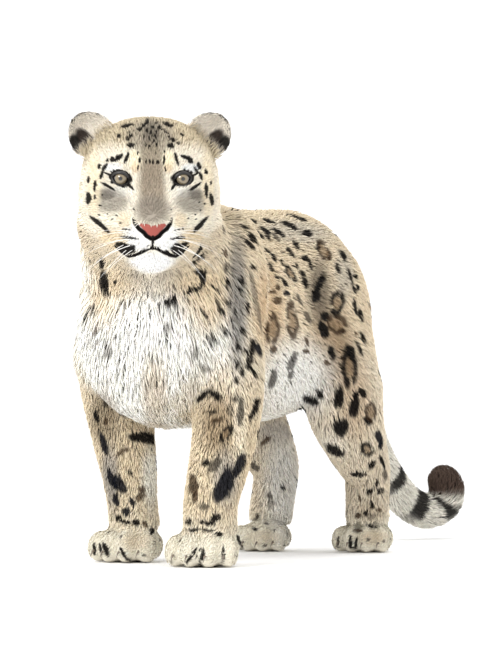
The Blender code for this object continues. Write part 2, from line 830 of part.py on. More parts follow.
def nostrils():
    """Two slanted hollows in the front of the nose."""
    bm = bmesh.new()
    for side in BOTH_SIDES:
        centre = (side * NOSTRIL_CENTRE.x, NOSTRIL_CENTRE.y, NOSTRIL_CENTRE.z)
        slant = Matrix.Rotation(math.radians(side * NOSTRIL_SLANT), 4, "Y")
        add_ellipsoid(bm, centre, NOSTRIL_HALF, slant, head_place(), 2)
    return new_object("nostrils", bm)


def head_node():
    """The head down to its cut, with lids, mouth line and nostrils."""
    bm = bmesh.new()
    add_head_clay(bm)
    add_loft(bm, tube_rings(NECK))
    head = fused("head", bm, HEAD_VOXEL, HEAD_SMOOTHING, HEAD_TRIANGLES)
    with_locks(head, locks(surface_of(head), ruff_rays(), RUFF_LOCK))
    cut(head, [HEAD_CUT, NECK_CUT], "INTERSECT", -GAP / 2)
    boolean(head, mouth_grooves(surface_of(head)), "DIFFERENCE")
    boolean(head, eyeballs("lids", BOTH_SIDES, EYE_RADIUS + LID_THICKNESS), "UNION")
    boolean(head, lid_openings(), "DIFFERENCE")
    boolean(head, eyeballs("sockets", BOTH_SIDES, EYE_RADIUS + GAP), "DIFFERENCE")
    return boolean(head, nostrils(), "DIFFERENCE")


def ear_point(across_share, up_share, inner):
    """A point of the ear's outer or inner face, by shares across and up it."""
    round_off = math.sqrt(max(0.0, 1.0 - up_share**2.6))
    width = EAR_HALF_WIDTH * (0.86 + 0.14 * math.sin(math.pi * up_share)) * round_off
    x = across_share * width
    z = EAR_HEIGHT * up_share
    cup = EAR_CUP * (1 - across_share**2) * (0.35 + 0.65 * math.sin(math.pi * min(up_share, 0.9)))
    thickness = EAR_THICKNESS * (1 - 0.75 * up_share) * (1 - 0.7 * across_share**2)
    y = cup - (thickness if inner else 0.0)
    return Vector((x, y, z))


def ear_sheet(bm, inner):
    """A grid of the ear's inner or outer face, from below its base to its tip."""
    columns, rows = EAR_GRID
    sheet = []
    for row in range(rows + 1):
        up_share = EAR_ROOT_SHARE + (EAR_TIP_SHARE - EAR_ROOT_SHARE) * row / rows
        line = []
        for column in range(columns + 1):
            point = ear_point(-1 + 2 * column / columns, max(up_share, 0.0), inner)
            point.z = EAR_HEIGHT * up_share
            line.append(bm.verts.new(point))
        sheet.append(line)
    for low, high in zip(sheet, sheet[1:]):
        for i in range(columns):
            bm.faces.new((low[i], low[i + 1], high[i + 1], high[i]))
    return sheet


def sheet_rim(sheet):
    """The points round a grid's edge, in order."""
    sides = [line[0] for line in sheet[:-1]], sheet[-1][:-1]
    back = [line[-1] for line in reversed(sheet[1:])], sheet[0][:0:-1]
    return sides[0] + sides[1] + back[0] + back[1]


def ear_place(side):
    """The matrix from an ear's own axes to the model's."""
    base = Vector((side * EAR_BASE.x, EAR_BASE.y, EAR_BASE.z))
    lean = Matrix.Rotation(math.radians(side * EAR_LEAN), 4, "Y")
    turn = Matrix.Rotation(math.radians(side * EAR_TURN), 4, "Z")
    return head_place() @ Matrix.Translation(base) @ lean @ turn


def ear_node(name, side, head):
    """A rounded cup, set on the head and cut by it."""
    bm = bmesh.new()
    outer, inner = (sheet_rim(ear_sheet(bm, inner)) for inner in (False, True))
    for i, point in enumerate(outer):
        j = (i + 1) % len(outer)
        bm.faces.new((point, outer[j], inner[j], inner[i]))
    place = ear_place(side)
    bmesh.ops.transform(bm, matrix=place, verts=bm.verts)
    ear = new_object(name, bm)
    boolean(ear, copy_of(head, "cutter"), "DIFFERENCE")
    outwards = (place.to_3x3() @ Vector((0, 0, 1))).normalized()
    ear.data.transform(Matrix.Translation(outwards * 2 * GAP))
    return ear


def head_nodes():
    """The head with its ears and eyes."""
    head = head_node()
    nodes = {"head": head}
    for side, word in ((1, "left"), (-1, "right")):
        nodes[f"ear_{word}"] = ear_node(f"ear_{word}", side, head)
        nodes[f"eye_{word}"] = eyeballs(f"eye_{word}", [side], EYE_RADIUS, "eye")
    return nodes


def main():
    """Build every node, then set the origin under the middle of the animal."""
    clear_scene()
    nodes = body_nodes()
    nodes.update(head_nodes())
    for node in nodes.values():
        node.data.transform(Matrix.Translation(-MIDDLE))
        node.data.shade_smooth()
        node.data.set_sharp_from_angle(angle=math.radians(40))


main()
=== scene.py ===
"""The looks of a life-size snow leopard: skin, coat, eyes, nose, whiskers, claws and studio.

Metres, +Z up. The animal faces -Y and its own left side is +X. Its skin is fused from the
same clay as its solids and lies inside them by the depth of the coat, and the coat is made of
tapered tufts that follow its lie. Lengths on the head are in the head's own axes.
"""

import logging
import math
from dataclasses import dataclass, field
from enum import Enum
from typing import Iterable, Sequence

import bmesh
import bpy
import numpy as np
from mathutils import Euler, Matrix, Vector
from mathutils.bvhtree import BVHTree


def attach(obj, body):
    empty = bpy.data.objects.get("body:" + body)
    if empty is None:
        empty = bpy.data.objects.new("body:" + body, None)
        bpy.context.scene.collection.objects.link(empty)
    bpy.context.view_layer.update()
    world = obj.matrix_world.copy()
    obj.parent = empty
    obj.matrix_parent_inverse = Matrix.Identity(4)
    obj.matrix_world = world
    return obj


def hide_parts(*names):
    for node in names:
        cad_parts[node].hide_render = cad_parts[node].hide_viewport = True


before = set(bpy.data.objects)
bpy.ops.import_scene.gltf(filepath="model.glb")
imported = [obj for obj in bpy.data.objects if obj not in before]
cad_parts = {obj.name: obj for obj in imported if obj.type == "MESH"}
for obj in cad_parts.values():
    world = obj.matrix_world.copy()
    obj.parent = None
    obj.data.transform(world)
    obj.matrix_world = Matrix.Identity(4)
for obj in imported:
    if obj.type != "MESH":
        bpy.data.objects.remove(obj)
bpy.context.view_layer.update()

LOG = logging.getLogger("snow_leopard")
BODY = "root"

# The clay is drawn with its origin under the shoulders, and the model's origin lies under the
# middle of the whole animal.
MIDDLE = np.array((-0.002, 0.488, 0.0))
TO_MODEL = Matrix.Translation(Vector(-MIDDLE))

SIDED = ("ear", "foreleg", "forepaw", "thigh", "shank", "hindpaw")
TAIL_NODES = ("tail_root", "tail_middle", "tail_bend", "tail_tip")
FLESH_NODES = (
    "head",
    "neck",
    "chest",
    "abdomen",
    *TAIL_NODES,
    *(f"{name}_{side}" for name in SIDED for side in ("left", "right")),
)

Array = np.ndarray
Station = tuple[float, ...]


class Side(Enum):
    """A side of the animal, with the sign of X there."""

    LEFT = 1
    RIGHT = -1


class Zone(Enum):
    """A stretch of the coat with one kind of tuft."""

    FACE = 0
    CROWN = 1
    CHEEK = 2
    NECK = 3
    BREAST = 4
    FLANK = 5
    BELLY = 6
    FORELEG = 7
    HINDLEG = 8
    PAW = 9
    TAIL = 10
    EAR = 11


def ramp(values: Array, low: float, high: float) -> Array:
    """Smooth steps from 0 at low to 1 at high.

    Args:
        values: The values to look up.
        low: Where the step starts. It may be more than high.
        high: Where the step ends.

    Returns:
        Shares from 0 to 1.
    """
    share = np.clip((values - low) / (high - low), 0.0, 1.0)
    return share * share * (3 - 2 * share)


def unit(vectors: Array) -> Array:
    """The vectors made one long."""
    return vectors / np.maximum(np.linalg.norm(vectors, axis=-1, keepdims=True), 1e-9)


def linear(red: int, green: int, blue: int) -> Array:
    """A colour of 0 to 255 as it looks on a screen, in linear light."""
    value = np.array((red, green, blue)) / 255.0
    return np.where(value <= 0.04045, value / 12.92, ((value + 0.055) / 1.055) ** 2.4)


def eased(stations: Sequence[Station], steps: int = 4) -> list[Station]:
    """More stations on a smooth curve through the given ones.

    Args:
        stations: Rows of numbers.
        steps: How many new rows each span gets.

    Returns:
        The rows of the curve.
    """
    knots = [np.array(s, float) for s in stations]
    out = []
    for i in range(len(knots) - 1):
        a, b = knots[max(i - 1, 0)], knots[i]
        c, d = knots[i + 1], knots[min(i + 2, len(knots) - 1)]
        for step in range(steps):
            t = step / steps
            curve = 2 * b + (c - a) * t + (2 * a - 5 * b + 4 * c - d) * t**2
            out.append(tuple(0.5 * (curve + (3 * b - a - 3 * c + d) * t**3)))
    out.append(tuple(knots[-1]))
    return out


def oval(
    centre: Vector, across: Vector, up: Vector, half_width: float, half_height: float, sides: int
) -> list[Vector]:
    """Points of an ellipse.

    Args:
        centre: Its middle.
        across: Unit vector along its width.
        up: Unit vector along its height.
        half_width: Half its width.
        half_height: Half its height.
        sides: How many points it has.

    Returns:
        The points in order.
    """
    turns = [2 * math.pi * i / sides for i in range(sides)]
    return [
        centre + across * (half_width * math.cos(t)) + up * (half_height * math.sin(t))
        for t in turns
    ]


def tube_rings(stations: Sequence[Station], sides: int = 24) -> list[list[Vector]]:
    """Sections square to a centre line.

    Args:
        stations: Rows of x, y, z, half width and, where it differs, half depth.
        sides: How many points each section has.

    Returns:
        The sections in order.
    """
    points = [Vector(s[:3]) for s in stations]
    rings = []
    for i, station in enumerate(stations):
        ahead = points[min(i + 1, len(points) - 1)]
        behind = points[max(i - 1, 0)]
        along = (ahead - behind).normalized()
        axis = Vector((1, 0, 0)) if abs(along.x) < 0.9 else Vector((0, 0, 1))
        across = (axis - along * along.dot(axis)).normalized()
        depth = station[4] if len(station) > 4 else station[3]
        rings.append(oval(points[i], across, along.cross(across), station[3], depth, sides))
    return rings


class Mould:
    """Closed shapes in one bmesh, before they are fused."""

    def __init__(self) -> None:
        """Start with nothing in it."""
        self.bm = bmesh.new()

    def ellipsoid(
        self, centre: Iterable[float], half_sizes: Iterable[float], place: Matrix, detail: int = 4
    ) -> None:
        """Add an ellipsoid.

        Args:
            centre: Its middle, in the axes of place.
            half_sizes: Half its size each way.
            place: The matrix from those axes to the mould's.
            detail: How often its faces are divided.
        """
        size = Matrix.Diagonal((*half_sizes, 1.0))
        matrix = place @ Matrix.Translation(Vector(centre)) @ size
        bmesh.ops.create_icosphere(self.bm, subdivisions=detail, radius=1.0, matrix=matrix)

    def loft(self, rings: Sequence[Sequence[Vector]]) -> None:
        """Bridge closed rings of points, one after the other, and cap both ends.

        Args:
            rings: The rings, each with as many points as the first.
        """
        made = [[self.bm.verts.new(point) for point in ring] for ring in rings]
        count = len(made[0])
        for lower, upper in zip(made, made[1:]):
            for i in range(count):
                j = (i + 1) % count
                self.bm.faces.new((lower[i], lower[j], upper[j], upper[i]))
        self.bm.faces.new(list(reversed(made[0])))
        self.bm.faces.new(made[-1])

    def finished(self, name: str) -> bpy.types.Object:
        """An object that holds all the shapes.

        Args:
            name: The object's name.

        Returns:
            The new object, with its faces turned outwards.
        """
        bmesh.ops.recalc_face_normals(self.bm, faces=self.bm.faces)
        mesh = bpy.data.meshes.new(name)
        self.bm.to_mesh(mesh)
        self.bm.free()
        made = bpy.data.objects.new(name, mesh)
        bpy.context.scene.collection.objects.link(made)
        return made


def applied(obj: bpy.types.Object) -> bpy.types.Object:
    """The object with its modifiers worked into its mesh.

    Args:
        obj: The object.

    Returns:
        The same object, with no modifiers left.
    """
    bpy.context.view_layer.update()
    graph = bpy.context.evaluated_depsgraph_get()
    mesh = bpy.data.meshes.new_from_object(obj.evaluated_get(graph))
    obj.modifiers.clear()
    old = obj.data
    obj.data = mesh
    bpy.data.meshes.remove(old)
    return obj


def mesh_points(mesh: bpy.types.Mesh) -> Array:
    """The mesh's points as rows of x, y and z.

    Args:
        mesh: A mesh.

    Returns:
        One row for each point.
    """
    out = np.empty(len(mesh.vertices) * 3)
    mesh.vertices.foreach_get("co", out)
    return out.reshape(-1, 3)


def mesh_normals(mesh: bpy.types.Mesh) -> Array:
    """The normals at the mesh's points.

    Args:
        mesh: A mesh.

    Returns:
        One row for each point.
    """
    out = np.empty(len(mesh.vertices) * 3)
    mesh.vertex_normals.foreach_get("vector", out)
    return out.reshape(-1, 3)


def mesh_edges(mesh: bpy.types.Mesh) -> Array:
    """The two ends of each edge.

    Args:
        mesh: A mesh.

    Returns:
        One row for each edge.
    """
    out = np.empty(len(mesh.edges) * 2, np.int32)
    mesh.edges.foreach_get("vertices", out)
    return out.reshape(-1, 2)


def mesh_triangles(mesh: bpy.types.Mesh) -> Array:
    """The three corners of each triangle.

    Args:
        mesh: A mesh.

    Returns:
        One row for each triangle.
    """
    mesh.calc_loop_triangles()
    out = np.empty(len(mesh.loop_triangles) * 3, np.int32)
    mesh.loop_triangles.foreach_get("vertices", out)
    return out.reshape(-1, 3)


def move_points(mesh: bpy.types.Mesh, points: Array) -> None:
    """Give the mesh new places for its points."""
    mesh.vertices.foreach_set("co", points.astype(np.float32).ravel())
    mesh.update()


def spread(values: Array, edges: Array, rounds: int) -> Array:
    """Even a value out over a mesh.

    Args:
        values: One row for each point.
        edges: The mesh's edges.
        rounds: How often each point takes the mean of itself and its neighbours.

    Returns:
        The evened rows.
    """
    rows = values.reshape(len(values), -1).astype(float)
    ends = np.concatenate((edges[:, 0], edges[:, 1]))
    others = np.concatenate((edges[:, 1], edges[:, 0]))
    count = np.bincount(ends, minlength=len(rows)) + 1.0
    for _ in range(rounds):
        total = [np.bincount(ends, rows[others, k], len(rows)) for k in range(rows.shape[1])]
        rows = (rows + np.stack(total, axis=1)) / count[:, None]
    return rows.reshape(values.shape)


@dataclass
class Trunk:
    """Torso, muscles, legs, paws, tail and neck as clay, at the outside of the coat."""

    torso: tuple[Station, ...] = (
        (-0.126, 0.430, 0.320, 0.050),
        (-0.104, 0.490, 0.268, 0.100),
        (-0.055, 0.560, 0.244, 0.134),
        (0.000, 0.600, 0.228, 0.146),
        (0.070, 0.616, 0.228, 0.148),
        (0.150, 0.615, 0.230, 0.144),
        (0.230, 0.610, 0.230, 0.140),
        (0.310, 0.612, 0.236, 0.139),
        (0.390, 0.618, 0.244, 0.138),
        (0.460, 0.622, 0.256, 0.134),
        (0.510, 0.614, 0.275, 0.128),
        (0.560, 0.591, 0.310, 0.114),
        (0.610, 0.560, 0.360, 0.090),
        (0.650, 0.527, 0.410, 0.060),
        (0.676, 0.497, 0.446, 0.030),
    )
    muscles: tuple = (
        ((0.098, 0.036, 0.450), (0.064, 0.092, 0.150), -12),
        ((0.112, 0.020, 0.350), (0.056, 0.078, 0.090), 10),
        ((0.066, 0.518, 0.436), (0.064, 0.101, 0.138), 20),
    )
    legs: dict = field(
        default_factory=lambda: {
            "foreleg_left": (
                (0.098, 0.022, 0.430, 0.058, 0.080),
                (0.112, 0.016, 0.320, 0.060, 0.076),
                (0.117, 0.000, 0.225, 0.055, 0.060),
                (0.108, -0.012, 0.155, 0.049, 0.052),
                (0.100, -0.020, 0.105, 0.045, 0.047),
                (0.090, -0.002, 0.055, 0.046, 0.048),
            ),
            "foreleg_right": (
                (-0.100, 0.045, 0.430, 0.060, 0.080),
                (-0.116, 0.050, 0.320, 0.062, 0.076),
                (-0.111, 0.060, 0.225, 0.055, 0.058),
                (-0.103, 0.069, 0.155, 0.048, 0.050),
                (-0.102, 0.078, 0.105, 0.043, 0.045),
                (-0.104, 0.092, 0.055, 0.044, 0.047),
            ),
            "hindleg_left": (
                (0.070, 0.520, 0.440, 0.056, 0.100),
                (0.088, 0.500, 0.340, 0.062, 0.112),
                (0.100, 0.498, 0.282, 0.061, 0.114),
                (0.102, 0.530, 0.226, 0.053, 0.086),
                (0.099, 0.573, 0.182, 0.046, 0.066),
                (0.096, 0.606, 0.148, 0.041, 0.052),
                (0.095, 0.609, 0.108, 0.040, 0.044),
                (0.095, 0.609, 0.055, 0.041, 0.044),
            ),
            "hindleg_right": (
                (-0.070, 0.520, 0.440, 0.056, 0.100),
                (-0.090, 0.505, 0.340, 0.062, 0.118),
                (-0.098, 0.508, 0.282, 0.058, 0.102),
                (-0.098, 0.545, 0.226, 0.050, 0.080),
                (-0.096, 0.590, 0.184, 0.045, 0.062),
                (-0.094, 0.614, 0.150, 0.041, 0.051),
                (-0.093, 0.602, 0.108, 0.040, 0.045),
                (-0.092, 0.584, 0.055, 0.041, 0.044),
            ),
        }
    )
    paws: dict = field(
        default_factory=lambda: {
            "foreleg_left": ((0.087, -0.028), 14, 1.00),
            "foreleg_right": ((-0.110, 0.056), -2, 1.00),
            "hindleg_left": ((0.095, 0.580), 6, 0.90),
            "hindleg_right": ((-0.091, 0.532), -2, 0.90),
        }
    )
    toes: tuple = ((-0.043, -0.008), (-0.0155, 0.010), (0.0155, 0.010), (0.043, -0.008))
    toe_half: Station = (0.0185, 0.033, 0.030)
    toe_height: float = 0.025
    palm_centre: Station = (0.0, 0.040, 0.028)
    palm_half: Station = (0.055, 0.052, 0.038)
    tail: tuple[Station, ...] = (
        (0.000, 0.590, 0.530, 0.052),
        (0.001, 0.660, 0.480, 0.048),
        (-0.002, 0.745, 0.402, 0.042),
        (-0.022, 0.820, 0.330, 0.038),
        (-0.045, 0.890, 0.265, 0.036),
        (-0.064, 0.970, 0.197, 0.036),
        (-0.068, 1.040, 0.140, 0.036),
        (-0.059, 1.110, 0.086, 0.036),
        (-0.034, 1.165, 0.056, 0.037),
        (-0.008, 1.195, 0.070, 0.038),
        (0.000, 1.198, 0.098, 0.038),
        (-0.004, 1.196, 0.114, 0.036),
    )
    neck: tuple[Station, ...] = (
        (-0.002, 0.070, 0.458, 0.138, 0.122),
        (0.000, 0.010, 0.488, 0.137, 0.116),
        (0.010, -0.045, 0.520, 0.132, 0.112),
        (0.034, -0.095, 0.562, 0.116, 0.104),
    )

    def paw_place(self, name: str) -> Matrix:
        """The matrix from a paw's own axes, about the floor under its toes, to the clay's.

        Args:
            name: A paw's name.

        Returns:
            The matrix.
        """
        (x, y), turn, size = self.paws[name]
        outwards = turn if x > 0 else -turn
        turned = Matrix.Rotation(math.radians(outwards), 4, "Z")
        return Matrix.Translation((x, y, 0.0)) @ turned @ Matrix.Scale(size, 4)

    def add_to(self, mould: Mould) -> None:
        """Put the whole trunk in the mould.

        Args:
            mould: The mould.
        """
        upright = Vector((1, 0, 0)), Vector((0, 0, 1))
        mould.loft(
            [
                oval(Vector((0, y, (top + low) / 2)), *upright, half, (top - low) / 2, 32)
                for y, top, low, half in self.torso
            ]
        )
        for centre, half_sizes, tilt in self.muscles:
            for side in Side:
                middle = (side.value * centre[0], centre[1], centre[2])
                turn = Matrix.Rotation(math.radians(tilt), 4, "X")
                place = Matrix.Translation(middle) @ turn
                mould.ellipsoid((0, 0, 0), half_sizes, place)
        for name, stations in self.legs.items():
            mould.loft(tube_rings(eased(stations)))
            place = self.paw_place(name)
            mould.ellipsoid(self.palm_centre, self.palm_half, place)
            for sideways, forward in self.toes:
                toe = Matrix.Translation((sideways, -forward, self.toe_height))
                splay = Matrix.Rotation(sideways * 5.0, 4, "Z")
                mould.ellipsoid((0, 0, 0), self.toe_half, place @ toe @ splay)
        mould.loft(tube_rings(eased(self.tail)))
        tip = self.tail[-1]
        mould.ellipsoid(tip[:3], [tip[3]] * 3, Matrix.Identity(4))
        mould.loft(tube_rings(self.neck))


@dataclass
class Head:
    """The head as clay, and the fine forms of its face, in its own axes facing -Y."""

    middle: Station = (0.051, -0.138, 0.604)
    turn: float = 31
    nod: float = 3
    squareness: float = 2.4
    sections: tuple[Station, ...] = (
        (0.124, -0.044, -0.068, 0.016, -0.056),
        (0.116, -0.034, -0.094, 0.031, -0.066),
        (0.102, -0.014, -0.112, 0.045, -0.070),
        (0.086, 0.008, -0.118, 0.055, -0.070),
        (0.072, 0.036, -0.120, 0.068, -0.055),
        (0.058, 0.066, -0.121, 0.085, -0.035),
        (0.040, 0.094, -0.121, 0.100, -0.015),
        (0.016, 0.118, -0.119, 0.111, -0.010),
        (-0.012, 0.131, -0.116, 0.116, -0.010),
        (-0.042, 0.131, -0.114, 0.117, -0.010),
        (-0.072, 0.118, -0.110, 0.112, -0.005),
        (-0.100, 0.098, -0.100, 0.098, 0.000),
        (-0.120, 0.070, -0.080, 0.074, 0.000),
    )
    lumps: tuple = (
        ((0.000, -0.066, -0.010), (0.030, 0.048, 0.030), 34),
        ((0.000, -0.110, -0.049), (0.027, 0.019, 0.018), 30),
        ((0.027, -0.095, -0.070), (0.030, 0.028, 0.025), 8),
        ((0.000, -0.089, -0.105), (0.031, 0.024, 0.019), 0),
        ((0.047, -0.030, 0.048), (0.038, 0.033, 0.027), -15),
        ((0.058, -0.036, -0.020), (0.034, 0.034, 0.034), 0),
        ((0.088, 0.020, -0.044), (0.031, 0.046, 0.050), 0),
    )
    eye_centre: Station = (0.0475, -0.0520, 0.0262)
    eye_radius: float = 0.0165
    eye_slant: float = 14
    eye_outwards: float = 9
    lid_thickness: float = 0.0030
    lid_half: tuple[float, float] = (0.0158, 0.0104)
    lip_line: tuple = (
        (0.000, -0.0815),
        (0.008, -0.0840),
        (0.018, -0.0895),
        (0.028, -0.0940),
        (0.037, -0.0955),
        (0.047, -0.0890),
        (0.056, -0.0800),
    )
    lip_depth: float = 0.0034
    lip_half_width: float = 0.0021
    nose_outline: tuple = (
        (0.0, -0.0490), (0.0090, -0.0460), (0.0190, -0.0450), (0.0215, -0.0480), (0.0140, -0.0560),
        (0.0090, -0.0610), (0.0075, -0.0670), (0.0, -0.0690),
    )
    nostril: tuple = (
        (0.0290, -0.0380), (0.0275, -0.0460), (0.0220, -0.0535), (0.0140, -0.0600),
        (0.0100, -0.0650), (0.0030, -0.0690),
    )
    nostril_half_width: float = 0.0026
    nostril_depth: float = 0.0045
    philtrum: tuple = ((0.0, -0.071), (0.0, -0.082))
    philtrum_depth: float = 0.0020
    philtrum_half_width: float = 0.0016
    pad_height: float = 0.0022

    def place(self) -> Matrix:
        """The matrix from the head's axes to the clay's."""
        turned = Euler((math.radians(self.nod), 0.0, math.radians(self.turn))).to_matrix()
        return Matrix.Translation(self.middle) @ turned.to_4x4()

    def to_model(self) -> Matrix:
        """The matrix from the head's axes to the model's."""
        return TO_MODEL @ self.place()

    def local(self, points: Array) -> Array:
        """Points of the model in the head's axes."""
        back = np.array(self.to_model().inverted())
        return points @ back[:3, :3].T + back[:3, 3]

    def world(self, points: Array) -> Array:
        """Points in the head's axes as points of the model."""
        matrix = np.array(self.to_model())
        return points @ matrix[:3, :3].T + matrix[:3, 3]

    def directions(self, vectors: Array) -> Array:
        """Vectors in the head's axes as vectors of the model."""
        return vectors @ np.array(self.to_model())[:3, :3].T

    def eye_place(self, side: Side) -> Matrix:
        """The matrix from an eye's own axes, facing -Y, to the head's.

        Args:
            side: The eye's side.

        Returns:
            The matrix.
        """
        centre = Vector((side.value * self.eye_centre[0], *self.eye_centre[1:]))
        outwards = Matrix.Rotation(math.radians(side.value * self.eye_outwards), 4, "Z")
        slant = Matrix.Rotation(math.radians(-side.value * self.eye_slant), 4, "Y")
        return Matrix.Translation(centre) @ outwards @ slant

    def add_to(self, mould: Mould) -> None:
        """Put the head's sections and lumps in the mould.

        Args:
            mould: The mould.
        """
        power = 2 / self.squareness
        rings = []
        for forward, top, bottom, half_width, widest in self.sections:
            ring = []
            for i in range(40):
                turn = 2 * math.pi * i / 40
                sideways = math.copysign(abs(math.cos(turn)) ** power, math.cos(turn))
                rise = top - widest if math.sin(turn) > 0 else widest - bottom
                up = math.copysign(abs(math.sin(turn)) ** power, math.sin(turn))
                local = Vector((half_width * sideways, -forward, widest + rise * up))
                ring.append(self.place() @ local)
            rings.append(ring)
        mould.loft(rings)
        for centre, half_sizes, nod in self.lumps:
            for side in Side if centre[0] else (Side.LEFT,):
                middle = (side.value * centre[0], centre[1], centre[2])
                turn = Matrix.Rotation(math.radians(nod), 4, "X")
                place = self.place() @ Matrix.Translation(middle) @ turn
                mould.ellipsoid((0, 0, 0), half_sizes, place)

    def almond(self, across: Array, up: Array) -> Array:
        """How far points in front of an eye are from the opening of its lids.

        Args:
            across: Places across the eye, in its own axes.
            up: Places up it.

        Returns:
            Distances, below 0 inside the opening.
        """
        half_width, half_height = self.lid_half
        radius = (half_width**2 + half_height**2) / (2 * half_height)
        rise = radius - half_height
        return np.hypot(across, np.abs(up) + rise) - radius

    def line_distance(self, local: Array, line: Sequence[Station]) -> Array:
        """Distances in the front view from a line that is mirrored to the other side.

        Args:
            local: Points in the head's axes.
            line: Rows of sideways place and height.

        Returns:
            One distance for each point.
        """
        flat = np.stack((np.abs(local[:, 0]), local[:, 2]), axis=1)
        best = np.full(len(local), 9.0)
        for start, end in zip(line, line[1:]):
            a, b = np.array(start), np.array(end)
            along = np.clip((flat - a) @ (b - a) / ((b - a) @ (b - a)), 0, 1)
            near = a + along[:, None] * (b - a)
            best = np.minimum(best, np.linalg.norm(flat - near, axis=1))
        return best

    def nose_depth(self, local: Array) -> Array:
        """How far inside the edge of the nose leather points lie in the front view.

        Args:
            local: Points in the head's axes.

        Returns:
            Distances, below 0 outside it.
        """
        flat = np.stack((np.abs(local[:, 0]), local[:, 2]), axis=1)
        inside = np.zeros(len(local), bool)
        outline = [np.array(p) for p in self.nose_outline]
        for a, b in zip(outline, outline[1:] + outline[:1]):
            crosses = (a[1] > flat[:, 1]) != (b[1] > flat[:, 1])
            where = a[0] + (flat[:, 1] - a[1]) / (b[1] - a[1] + 1e-12) * (b[0] - a[0])
            inside ^= crosses & (flat[:, 0] < where)
        edge = self.line_distance(local, self.nose_outline)
        return np.where(inside, edge, -edge)

    def carve(self, points: Array) -> Array:
        """Shape lids, lips, nose and nostrils in the skin.

        Args:
            points: Points of the skin in the model's axes.

        Returns:
            The same points, moved.
        """
        local = self.local(points)
        front = ramp(local[:, 1], -0.020, -0.045)
        lips = self.line_distance(local, self.lip_line)
        local[:, 1] += front * self.lip_depth * np.exp(-((lips / self.lip_half_width) ** 2))
        split = self.line_distance(local, self.philtrum) / self.philtrum_half_width
        local[:, 1] += front * self.philtrum_depth * np.exp(-(split**2))
        pad = self.nose_depth(local)
        local[:, 1] -= front * self.pad_height * ramp(pad, -0.0006, 0.0012)
        pits = self.line_distance(local, self.nostril) / self.nostril_half_width
        local[:, 1] += front * self.nostril_depth * np.exp(-(pits**2))
        for side in Side:
            local = self._lids(local, side)
        return self.world(local)

    def _lids(self, local: Array, side: Side) -> Array:
        """Shape one eye's lids and the hollow that its ball sits in.

        Args:
            local: Points in the head's axes.
            side: The eye's side.

        Returns:
            The points, moved where they are near the eye.
        """
        matrix = np.array(self.eye_place(side))
        back = np.linalg.inv(matrix)
        eye = local @ back[:3, :3].T + back[:3, 3]
        reach = np.hypot(eye[:, 0], eye[:, 2])
        near = (reach < self.eye_radius * 1.7) & (eye[:, 1] < 0.004)
        shell = self.eye_radius + self.lid_thickness
        lid = -np.sqrt(np.maximum(shell**2 - reach**2, 0.0))
        weight = ramp(reach, shell * 1.25, shell * 0.80)
        raised = np.minimum(eye[:, 1], eye[:, 1] * (1 - weight) + lid * weight)
        gap = self.almond(eye[:, 0], eye[:, 2])
        hollow = -np.sqrt(np.maximum((self.eye_radius - 0.002) ** 2 - reach**2, 0.0)) + 0.002
        depth = np.where(gap < 0, hollow, raised)
        eye[near, 1] = depth[near]
        return eye @ matrix[:3, :3].T + matrix[:3, 3]

    def bare(self, local: Array) -> Array:
        """Shares of bare skin on the face: lids, lips and nose.

        Args:
            local: Points in the head's axes.

        Returns:
            1 where no fur grows, 0 where it does.
        """
        front = local[:, 1] < -0.02
        share = front * ramp(self.nose_depth(local), -0.0045, -0.0025)
        lines = self.line_distance(local, self.lip_line)
        lines = np.minimum(lines, self.line_distance(local, self.nostril))
        share = np.maximum(share, front * ramp(lines, 0.0040, 0.0022))
        for side in Side:
            back = np.array(self.eye_place(side).inverted())
            eye = local @ back[:3, :3].T + back[:3, 3]
            gap = self.almond(eye[:, 0], eye[:, 2])
            share = np.maximum(share, (eye[:, 1] < 0.004) * ramp(gap, 0.0042, 0.0030))
        return share


